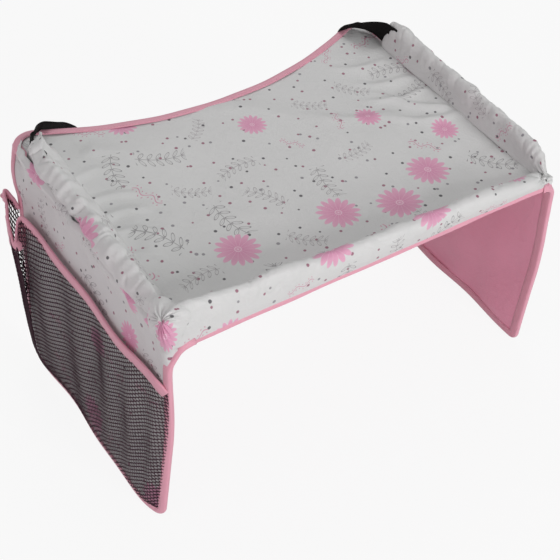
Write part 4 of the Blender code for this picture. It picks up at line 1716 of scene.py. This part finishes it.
    def cover(self) -> Piece:
        """The printed cloth, from the wall's seam to the flap's lower edge.

        Returns:
            The cloth.
        """
        points, cloth = self.flap_grid(26 * MM, 0.0)
        piece = cloth_piece(f"{self.side.word}_side_cloth", points, cloth)
        thicken(piece, PRINTED_CLOTH)
        self.looks.dress(piece, Slot.PRINT)
        self.bend(piece)
        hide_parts(f"{self.side.word}_flap_cover", f"{self.side.word}_flap_stiffener")
        return piece

    def lining(self) -> Piece:
        """The pink cloth on the flap's inner face.

        Returns:
            The lining.
        """
        points, cloth = self.flap_grid(0.3 * MM, -2.9 * MM, 0.4 * MM)
        y, z = points[..., 1], points[..., 2]
        inside = ramp(y - self.front, 0, 25) * ramp(-z, 4, 30) * ramp(z + self.drop, 0, 20)
        folds = Ripples(54 * MM, 1.2 * MM, self.seed + 5, stretch=2.4).at(y + 0.3 * z, z)
        points[..., 0] += self.side.value * (folds - 0.5 * MM) * inside
        piece = cloth_piece(f"{self.side.word}_flap_lining_cloth", points, cloth)
        thicken(piece, LINING_CLOTH)
        self.looks.dress(piece, Slot.SATIN)
        self.bend(piece)
        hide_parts(f"{self.side.word}_flap_lining")
        return piece

    def border(self, inset: float) -> Points:
        """The flap's edge, along and up, from the front top round to the back top.

        Args:
            inset: how far in from the flap's edge.

        Returns:
            The border's points.
        """
        front, back = self.front + inset, self.back - inset
        low, r = inset - self.drop, self.corner - inset
        side_count, foot_count, back_count, turn_count = 60, 90, 80, 12
        turn = np.linspace(0, math.pi / 2, turn_count)
        z = np.linspace(-17 * MM, low + r, side_count)
        down = np.column_stack([np.full(side_count, front), z])
        first = np.column_stack([front + r - r * np.cos(turn), low + r - r * np.sin(turn)])
        y = np.linspace(front + r, back - self.foot_corner + inset, foot_count)
        foot = np.column_stack([y, np.full(foot_count, low)])
        wide = self.foot_corner - inset
        second_y, second_z = back - wide + wide * np.sin(turn), low + wide - wide * np.cos(turn)
        second = np.column_stack([second_y, second_z])
        z = np.linspace(low + wide, 0.5 * MM, back_count)
        up = np.column_stack([self.back_at(z) - inset, z])
        return np.vstack([down, first[1:], foot[1:], second[1:], up[1:]])

    def edge_tape(self) -> Piece:
        """The tape folded round the flap's edge, from the wall's foot round the front corner.

        Returns:
            The tape.
        """
        s = float(self.side.value)
        line = self.border(0.3 * MM)
        way = unit(np.gradient(line, axis=0))
        turned = np.column_stack([-way[:, 1], way[:, 0]])
        edge = self.outside(line[:, 0], line[:, 1], -1.5 * MM)
        within = line + 4 * MM * turned
        deeper = self.outside(within[:, 0], within[:, 1], -1.5 * MM)
        inward = unit(deeper - edge)
        facing = np.tile([s, 0.0, 0.0], (len(line), 1))
        run = np.array(self.foot_run) * MM
        share = smooth(np.linspace(0, 1, len(run)))[:, None]
        edge = np.vstack([run, edge])
        inward = np.vstack([(1 - share) * FOOT_INWARD + share * [0.0, 1.0, 0.0], inward])
        facing = np.vstack([(1 - share) * FOOT_FACING + share * [s, 0.0, 0.0], facing])
        far = arc_length(edge)
        at = np.linspace(0, far[-1], self.tape_points)
        edge, inward, facing = (np.stack([np.interp(at, far, v[:, k]) for k in range(3)], axis=1)
                                for v in (edge, inward, facing))
        corner, rounds = slice(self.corner_eased), 12
        edge[corner], inward[corner] = eased(edge[corner], rounds), eased(inward[corner], rounds)
        way = unit(np.gradient(edge, axis=0))
        inward = unit(inward - way * (inward * way).sum(axis=1, keepdims=True))
        turned = np.cross(way, inward)
        facing = turned * np.sign((turned * facing).sum(axis=1, keepdims=True))
        tape = FoldedTape(width=self.tape_width, opening=2.25 * MM, roll=1.3 * MM)
        grown = 0.82 + 0.18 * ramp(at, 0, 16)
        piece = tape.make(f"{self.side.word}_flap_edge_tape", edge, inward, facing, grown)
        self.looks.dress(piece, Slot.TAPE)
        self.bend(piece)
        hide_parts(f"{self.side.word}_flap_binding")
        return piece

    def mouth_line(self, share: Points) -> Points:
        """The pocket's mouth at shares of its length, as along, up and off the flap.

        Args:
            share: shares of the mouth's length, from front to back.

        Returns:
            The mouth's points.
        """
        line = through(np.array(self.mouth) * MM, 600)
        far = arc_length(line)
        return np.stack([np.interp(share, far / far[-1], line[:, k]) for k in range(3)], axis=-1)

    def pocket_place(self, share: Points, down: Points) -> Points:
        """The pocket's surface at shares of its length and of its height below the mouth.

        Args:
            share: shares of the mouth's length, from front to back.
            down: shares of the way from the mouth to the pocket's foot.

        Returns:
            The places on the pocket's surface.
        """
        seat, fold_reach, end_reach = 4 * MM, 0.06, 0.05
        top = self.mouth_line(share)
        low = 7.5 * MM - self.drop
        radius = self.corner - seat
        first = self.front + seat
        foot = np.interp(share, [0, self.fold_share, 1], [0, 0.92, 1])
        deep = np.clip(down, 0, 1)
        z = top[..., 1] + (low - top[..., 1]) * deep
        inset = self.corner_inset(z, radius, low)
        far = self.back_at(z) - seat - self.corner_inset(z, self.foot_corner - seat, low)
        y_low = first + inset + (far - first - inset) * foot
        behind = smooth((share - self.fold_share) / fold_reach)
        y = top[..., 0] + (y_low - top[..., 0]) * (deep + behind * (1 - (1 - deep) ** 6 - deep))
        ends = smooth(share / end_reach) * smooth((1 - share) / end_reach)
        folds = 1.6 * MM * np.sin(2 * math.pi * (share * 7.5 + 0.3 * np.sin(7 * share)))
        folds = folds * np.sin(math.pi * deep) ** 0.7
        stand = top[..., 2] * np.cos(math.pi / 2 * deep) ** 1.6 + (folds + 2.0 * MM) * ends
        face = self.outside(y, z, 1.3 * MM)
        face[..., 0] += self.side.value * stand
        return face

    def net(self) -> Piece:
        """The pocket's net, knitted thread by thread.

        Returns:
            The net.
        """
        line = self.pocket_place(np.linspace(0, 1, 500), np.zeros(500))
        width, height = arc_length(line)[-1], self.drop - self.mouth_drop
        verts, faces, count, step = [], [], 0, 0.004
        halves = (self.weave.chain, self.weave.link)
        for pairs, half in zip(self.weave.pieces(width, height), halves):
            share, down = pairs[..., 0] / width, pairs[..., 1] / height
            ends = self.pocket_place(share, down)
            middle, deep = share.mean(axis=1), down.mean(axis=1)
            along = self.pocket_place(middle + step, deep) - self.pocket_place(middle - step, deep)
            below = self.pocket_place(middle, deep + step) - self.pocket_place(middle, deep - step)
            normals = unit(np.cross(along, below))
            points, quads = self.weave.prisms(ends, normals, half)
            verts.append(points)
            faces.append(quads + count)
            count += len(points)
        verts, faces = np.concatenate(verts), np.concatenate(faces)
        mesh = bpy.data.meshes.new("net")
        face_list = [tuple(int(i) for i in face) for face in faces]
        mesh.from_pydata([tuple(p) for p in verts], [], face_list)
        layer = mesh.uv_layers.new(name="cloth")
        layer.uv.foreach_set("vector", verts[faces.ravel()][:, 1:].astype(np.float32).ravel())
        mesh.shade_smooth()
        piece = bpy.data.objects.new(f"{self.side.word}_pocket_mesh", mesh)
        bpy.context.scene.collection.objects.link(piece)
        self.looks.dress(piece, Slot.NET)
        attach(piece, f"{self.side.word}_flap")
        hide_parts(f"{self.side.word}_pocket_net")
        return piece

    def mouth_tape(self) -> Piece:
        """The tape folded over the pocket's mouth.

        Returns:
            The tape.
        """
        grid = np.linspace(0.0, 1.0, 800)
        edge = respaced(self.pocket_place(grid, np.zeros_like(grid)), self.mouth_points)
        way = unit(np.gradient(edge, axis=0))
        down = np.tile([0.0, 0.0, -1.0], (len(edge), 1))
        down = unit(down - way * (down * way).sum(axis=1, keepdims=True))
        facing = np.cross(way, down) * -self.side.value
        edge = edge + np.array([0, 0, 0.8 * MM])
        tape = FoldedTape(width=self.mouth_width, opening=1.0 * MM, roll=0.8 * MM)
        piece = tape.make(f"{self.side.word}_pocket_mouth_binding", edge, down, facing)
        self.looks.dress(piece, Slot.TAPE)
        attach(piece, f"{self.side.word}_flap")
        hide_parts(f"{self.side.word}_pocket_mouth_tape")
        return piece


@dataclass
class Belt:
    """Two webbing straps over the back corners to a side-release buckle, with routes in metres.

    A run's stations are the place, as far inboard, back and up from the tray's corner, and the way
    that the webbing's width lies.
    """

    outline: TrayOutline
    looks: Looks
    nodes: dict[str, Piece]
    width: float = 25 * MM
    thickness: float = 1.5 * MM
    exit_inboard: float = 8.5 * MM
    exit_height: float = 22 * MM
    foam_setback: float = 17 * MM
    buckle_back: float = 0.17
    buckle_drop: float = 0.1
    turn: float = 2.2 * MM
    lap: float = 1.8 * MM
    left_run: Stations = (
        ((0.007, -0.049, 0.0222), (0.0, 0.0, 1.0)),
        ((0.008, -0.036, 0.0218), (0.08, -0.08, 1.0)),
        ((0.0142, -0.0275, 0.0205), (0.06, -0.4, 0.92)),
        ((0.02, -0.0185, 0.0185), (0.0, -0.5, 0.86)),
        ((0.0245, -0.0125, 0.015), (-0.05, -0.5, 0.86)),
        ((0.0305, -0.007, 0.0115), (-0.1, -0.48, 0.87)),
        ((0.0375, -0.001, 0.0065), (-0.14, -0.48, 0.86)),
        ((0.044, 0.0015, 0.0022), (-0.14, -0.48, 0.86)),
        ((0.051, 0.001, -0.0005), (-0.14, -0.5, 0.85)),
        ((0.059, 0.0005, -0.0035), (-0.14, -0.5, 0.85)),
        ((0.0655, 0.0005, -0.0085), (-0.12, -0.5, 0.85)),
        ((0.071, 0.0015, -0.014), (-0.1, -0.55, 0.8)),
        ((0.08, 0.005, -0.03), (-0.1, -0.7, 0.7)),
    )
    right_run: Stations = (
        ((0.01, -0.05, 0.0215), (0.0, 0.0, 1.0)),
        ((0.0123, -0.0375, 0.0198), (-0.35, -0.12, 0.93)),
        ((0.0172, -0.0258, 0.0174), (-0.66, -0.18, 0.73)),
        ((0.023, -0.0185, 0.0172), (-0.47, -0.52, 0.71)),
        ((0.0278, -0.0125, 0.014), (-0.4, -0.62, 0.67)),
        ((0.032, -0.0065, 0.008), (-0.31, -0.55, 0.77)),
        ((0.034, -0.0015, 0.0), (-0.28, -0.5, 0.82)),
        ((0.0345, 0.0015, -0.01), (-0.25, -0.45, 0.85)),
        ((0.035, 0.003, -0.02), (-0.2, -0.45, 0.87)),
        ((0.037, 0.005, -0.034), (-0.1, -0.6, 0.8)),
        ((0.043, 0.009, -0.052), (-0.05, -0.9, 0.4)),
    )
    drop_shares: tuple[Pair, ...] = ((0.18, 0.48), (0.44, 0.82), (0.73, 0.985))
    tail_shares: tuple[Pair, ...] = ((0.25, 0.05), (0.6, 0.35), (1.0, 1.0))
    socket_bar: float = 28.5 * MM
    ladder_bar: float = 10.5 * MM
    ladder_end: float = 22.5 * MM
    bar: float = 3.0 * MM
    bar_half: float = 1.2 * MM
    free_tail: float = 62 * MM
    tail_sag: float = 9 * MM
    steps: int = 9
    ribs: int = 11
    face_points: int = 23

    def bar_turn(self, start: float) -> list[Pair]:
        """The places of webbing round a bar, over it and then under.

        Args:
            start: how far out the bar's near side is from the buckle's middle.

        Returns:
            The places, outwards and up.
        """
        angles = [math.pi / 2 + math.pi * i / 4 for i in range(5)]
        middle = start + self.bar_half
        return [(middle + self.turn * math.cos(a), self.turn * math.sin(a)) for a in angles]

    def socket_places(self) -> list[Pair]:
        """The left strap's end, sewn back round the socket's bar.

        Returns:
            The places, outwards and up from the buckle's middle.
        """
        top, sewn, end = self.turn, self.turn - self.lap, self.socket_bar + self.bar
        places = [(end + 18 * MM, top)] + self.bar_turn(self.socket_bar)
        return places + [(end, -top), (end + 6 * MM, sewn), (end + 34 * MM, sewn)]

    def ladder_places(self) -> list[Pair]:
        """The right strap's end, threaded through the plug's ladder, with its free tail.

        Returns:
            The places, outwards and up from the buckle's middle.
        """
        top, load = self.turn, self.turn + self.lap
        outer, inner = self.ladder_end - self.bar, self.ladder_bar + self.bar
        places = [(self.ladder_end + 18 * MM, load), (outer, load)] + self.bar_turn(self.ladder_bar)
        places += [(inner, -top), (outer, top), (self.ladder_end, top)]
        tail = [(self.ladder_end + self.free_tail * along, top - self.tail_sag * down)
                for along, down in self.tail_shares]
        return places + tail

    def route(self, side: Side, run: Stations, end: list[Pair]) -> tuple[Points, Points]:
        """A strap's centre line and the way its width lies, from its wall to the buckle.

        Args:
            side: the strap's side.
            run: the stations from the wall's back end over the corner.
            end: the places at the buckle, outwards and up.

        Returns:
            The centre line, and the way across the webbing at each of its points.
        """
        s = side.value
        half = self.outline.half_width
        wall_back = self.outline.wall_end - self.foam_setback + 0.3 * MM
        start = (s * (half - self.exit_inboard), wall_back, self.exit_height)
        places = [(start, (0.0, 0.0, 1.0))]
        for (inboard, back, up), way in run:
            places.append(((s * (half - inboard), self.outline.half_depth + back, up), way))
        low = Vector(places[-1][0])
        landing = Vector((s * end[0][0], self.buckle_back, end[0][1] - self.buckle_drop))
        across = (0.0, -1.0, 0.0)
        for along, down in self.drop_shares:
            point = low.lerp(landing, along)
            point.z = low.z + (landing.z - low.z) * down
            places.append((tuple(point), across))
        for length, height in end:
            places.append(((s * length, self.buckle_back, height - self.buckle_drop), across))
        line = curve([p for p, _ in places], self.steps)
        ways = curve([tuple(Vector(w).normalized()) for _, w in places], self.steps)
        return line, unit(ways)

    def strap(self, side: Side, run: Stations, end: list[Pair]) -> Piece:
        """Args:
            side: the strap's side.
            run: the stations from the wall's back end over the corner.
            end: the places at the buckle, outwards and up.

        Returns:
            The strap.
        """
        line, ways = self.route(side, run, end)
        way = unit(np.gradient(line, axis=0))
        normal = unit(np.cross(way, ways))
        count = self.face_points
        share = np.concatenate([np.linspace(-1, 1, count), np.linspace(1, -1, count), [-1.0]])
        face = np.concatenate([np.ones(count), -np.ones(count), [1.0]])
        ribs = 0.5 + 0.1 * np.cos(share * self.ribs * math.pi) * (np.abs(share) < 0.95)
        ribs = np.where(np.abs(share) > 0.999, 0.28, ribs)
        across, up = share * self.width / 2, face * ribs * self.thickness
        points = line[:, None] + ways[:, None] * across[None, :, None]
        points = points + normal[:, None] * up[None, :, None]
        along = arc_length(line)
        cloth = np.stack(np.broadcast_arrays(along[:, None], across[None, :]), axis=2)
        piece = cloth_piece(f"{side.word}_strap_webbing", points, cloth, wrap=True, caps=True)
        self.looks.dress(piece, Slot.WEBBING)
        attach(piece, "tray")
        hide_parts(f"{side.word}_belt_strap")
        return piece

    def build(self) -> list[Piece]:
        """Makes both straps and dresses the buckle.

        Returns:
            The two straps.
        """
        buckle = ("buckle_socket", "buckle_plug", "buckle_prong_front", "buckle_prong_rear")
        for name in buckle:
            node = self.nodes[name]
            node.data.materials.clear()
            node.data.materials.append(self.looks.materials[Slot.BUCKLE])
        left = self.strap(Side.LEFT, self.left_run, self.socket_places())
        right = self.strap(Side.RIGHT, self.right_run, self.ladder_places())
        return [left, right]


@dataclass(frozen=True)
class Viewpoint:
    """The photograph's camera."""

    place: Triple = (-0.5611, -0.7488, 0.7771)
    forward: Triple = (0.43008, 0.56318, -0.70559)
    up: Triple = (0.35528, 0.61292, 0.70576)
    lens: float = 81.83
    sensor: float = 36.0
    clip: Pair = (0.05, 20.0)

    def build(self) -> None:
        """Places the scene's camera."""
        data = bpy.data.cameras.new("photograph")
        data.lens, data.sensor_width = self.lens, self.sensor
        data.clip_start, data.clip_end = self.clip
        camera = bpy.data.objects.new("photograph", data)
        forward, up = Vector(self.forward).normalized(), Vector(self.up)
        right = forward.cross(up).normalized()
        up = right.cross(forward)
        turn = Matrix((right, up, -forward)).transposed().to_4x4()
        camera.matrix_world = Matrix.Translation(self.place) @ turn
        bpy.context.scene.collection.objects.link(camera)
        bpy.context.scene.camera = camera


@dataclass(frozen=True)
class Studio:
    """Soft lamps, a white world and a pale floor. A lamp is its place, size, watts and colour."""

    floor_gap: float = 2 * MM
    floor_reach: float = 4.0
    floor_grey: float = 0.6
    floor_glow: float = 0.9
    aim: Triple = (0, 0, -0.05)
    world_light: float = 0.355
    lamps: tuple[tuple[Triple, float, float, Triple], ...] = (
        ((0.3, -2.0, 0.75), 0.7, 23.0, (1.0, 1.0, 1.0)),
        ((-2.0, -0.5, 0.4), 1.2, 8.5, (1.0, 0.84, 0.91)),
        ((0.6, 1.4, 1.6), 1.2, 11.5, (1.0, 1.0, 1.0)),
    )

    def build(self) -> None:
        """Makes the light and the floor."""
        scene = bpy.context.scene
        scene.view_settings.view_transform = "Standard"
        world = bpy.data.worlds.new("studio")
        scene.world = world
        world.use_nodes = True
        tree = world.node_tree
        tree.nodes.clear()
        out = tree.nodes.new("ShaderNodeOutputWorld")
        fill, backdrop = (tree.nodes.new("ShaderNodeBackground") for _ in range(2))
        fill.inputs["Strength"].default_value = self.world_light
        for shade in (fill, backdrop):
            shade.inputs["Color"].default_value = (1, 1, 1, 1)
        mix, path = tree.nodes.new("ShaderNodeMixShader"), tree.nodes.new("ShaderNodeLightPath")
        tree.links.new(path.outputs["Is Camera Ray"], mix.inputs[0])
        tree.links.new(fill.outputs[0], mix.inputs[1])
        tree.links.new(backdrop.outputs[0], mix.inputs[2])
        tree.links.new(mix.outputs[0], out.inputs["Surface"])
        middle = Vector(self.aim)
        for place, size, power, colour in self.lamps:
            data = bpy.data.lights.new("lamp", "AREA")
            data.size, data.energy, data.color = size, power, colour
            lamp = bpy.data.objects.new("lamp", data)
            lamp.location = place
            lamp.rotation_euler = (middle - Vector(place)).to_track_quat("-Z", "Y").to_euler()
            scene.collection.objects.link(lamp)
        self.floor(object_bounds()[0].z - self.floor_gap)

    def floor(self, height: float) -> None:
        """The pale floor, which runs past the camera's view.

        Args:
            height: the floor's height.
        """
        reach = self.floor_reach
        corners = np.array([[[-reach, -reach, height], [-reach, reach, height]],
                            [[reach, -reach, height], [reach, reach, height]]])
        floor = cloth_piece("studio_floor", corners, corners[..., :2])
        material = bpy.data.materials.new("studio_floor")
        material.use_nodes = True
        tree = material.node_tree
        shader = tree.nodes["Principled BSDF"]
        shader.inputs["Base Color"].default_value = (*[self.floor_grey] * 3, 1)
        shader.inputs["Roughness"].default_value = 0.9
        glow, mix = tree.nodes.new("ShaderNodeEmission"), tree.nodes.new("ShaderNodeMixShader")
        glow.inputs["Color"].default_value = (1, 1, 1, 1)
        path = tree.nodes.new("ShaderNodeLightPath")
        rays = ("Is Camera Ray", "Is Glossy Ray")
        camera, glossy = (Wire(tree, path.outputs[ray]) for ray in rays)
        seen = camera.math("MAXIMUM", glossy)
        plug(tree, seen * self.floor_glow, mix.inputs[0])
        tree.links.new(shader.outputs[0], mix.inputs[1])
        tree.links.new(glow.outputs[0], mix.inputs[2])
        tree.links.new(mix.outputs[0], tree.nodes["Material Output"].inputs["Surface"])
        floor.data.materials.append(material)
        floor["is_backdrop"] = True


# What the photograph shows of each side, in millimetres. A profile is height and distance from
# the middle, a seam is place along the side and height, a mouth is place along, height and distance
# off the flap, a bow is height and bulge, a draw is place along and how far in the side is drawn.

LEFT_PROFILE = (
    (38, 219.6), (26, 219.6), (16, 218.4), (8, 215.6), (0, 213.2), (-10, 212.6), (-50, 215.5),
    (-224, 227.3),
)
RIGHT_PROFILE = (
    (40, 218.6), (26, 218.6), (16, 217.8), (8, 215.6), (0, 212.4), (-12, 213.6), (-36, 217.2),
    (-78, 220.6), (-121, 222.2), (-165, 222.6), (-224, 221.6),
)
LEFT_SEAM = (
    (-153, 24), (-140, 27), (-107, 19), (-52, 20.5), (11, 24), (48, 26), (82, 25.5), (100, 25),
    (120, 19), (136, 11), (148, 5),
)
RIGHT_SEAM = (
    (-153, 6), (-145, 11), (-134, 20), (-104, 26), (90, 26), (120, 19), (136, 11), (148, 5),
)
LEFT_MOUTH = (
    (-153.2, -50.5, 0.1), (-143, -43.5, 1.2), (-130, -41.5, 2), (-112, -43, 2.3), (-93, -45.5, 2.5),
    (-51, -46, 2.5), (6, -44.5, 3), (50, -43.5, 4), (80, -43.5, 4.5), (96, -42.5, 7),
    (99.5, -46, 8), (98, -56, 9), (95.5, -67, 10), (97, -71, 10.5), (101, -67.5, 11),
    (113, -50, 11.5), (125, -34, 11), (127.5, -31, 9.5), (125, -35, 6), (114, -48, 1),
)
LEFT_BOW = (
    (-40, 0), (-50, 3), (-62, 5), (-80, 7.5), (-110, 8), (-140, 8), (-170, 6), (-200, 3), (-224, 0),
)
RIGHT_DRAW = (
    (-153, 16), (-145, 11), (-136, 7), (-124, 5.5), (-104, 6.2), (-80, 5.5), (-36, 4.2), (2, 4.5),
    (56, 2.2), (95, 1.3), (105, 1),
)
RIGHT_MOUTH = (
    (-151, -47, 0.3), (-120, -47, 4), (-60, -50, 6), (0, -52, 8), (50, -54, 14), (85, -54, 16),
    (104, -50, 10), (114, -48, 1),
)
LEFT_FOOT = (
    (-188, -154.3, 0.6), (-194, -154.4, 0.3), (-199.5, -154.3, -1.2), (-203.5, -154.1, -4.0),
    (-206.3, -153.8, -8.5), (-207.5, -153.3, -13.0),
)
RIGHT_FOOT = (
    (196, -154.3, -1.6), (202, -154.4, -2.0), (206.5, -154.3, -3.2), (209.5, -154.1, -5.5),
    (211.3, -153.8, -9.0), (212.2, -153.3, -13.0),
)


def main() -> None:
    """Builds the tray's sub-assemblies in order and reports each piece."""
    logging.basicConfig(level=logging.INFO, format="%(name)s: %(message)s")
    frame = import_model()
    bpy.context.view_layer.update()
    looks = Looks()
    outline = TrayOutline(half_width=0.21, front=-0.1529)
    Viewpoint().build()
    left = SideFlap(
        Side.LEFT, looks, LEFT_PROFILE, LEFT_SEAM, LEFT_MOUTH, LEFT_FOOT,
        curl=9.5 * MM, wrap=9 * MM, seed=31, bow=LEFT_BOW,
        tape_width=6.3 * MM, mouth_width=9.6 * MM, wrap_foot=30 * MM,
    )
    right = SideFlap(
        Side.RIGHT, looks, RIGHT_PROFILE, RIGHT_SEAM, RIGHT_MOUTH, RIGHT_FOOT,
        curl=0.0, wrap=6 * MM, seed=44, fold_share=0.9, draw=RIGHT_DRAW,
    )
    belt = Belt(outline, looks, frame["nodes"])
    assemblies = (belt, TrayFloor(outline, looks), Walls(looks), left, right)
    for assembly in assemblies:
        for piece in assembly.build():
            log.info("%s: %d faces", piece.name, len(piece.data.polygons))
    Studio().build()


if __name__ == "__main__":
    main()
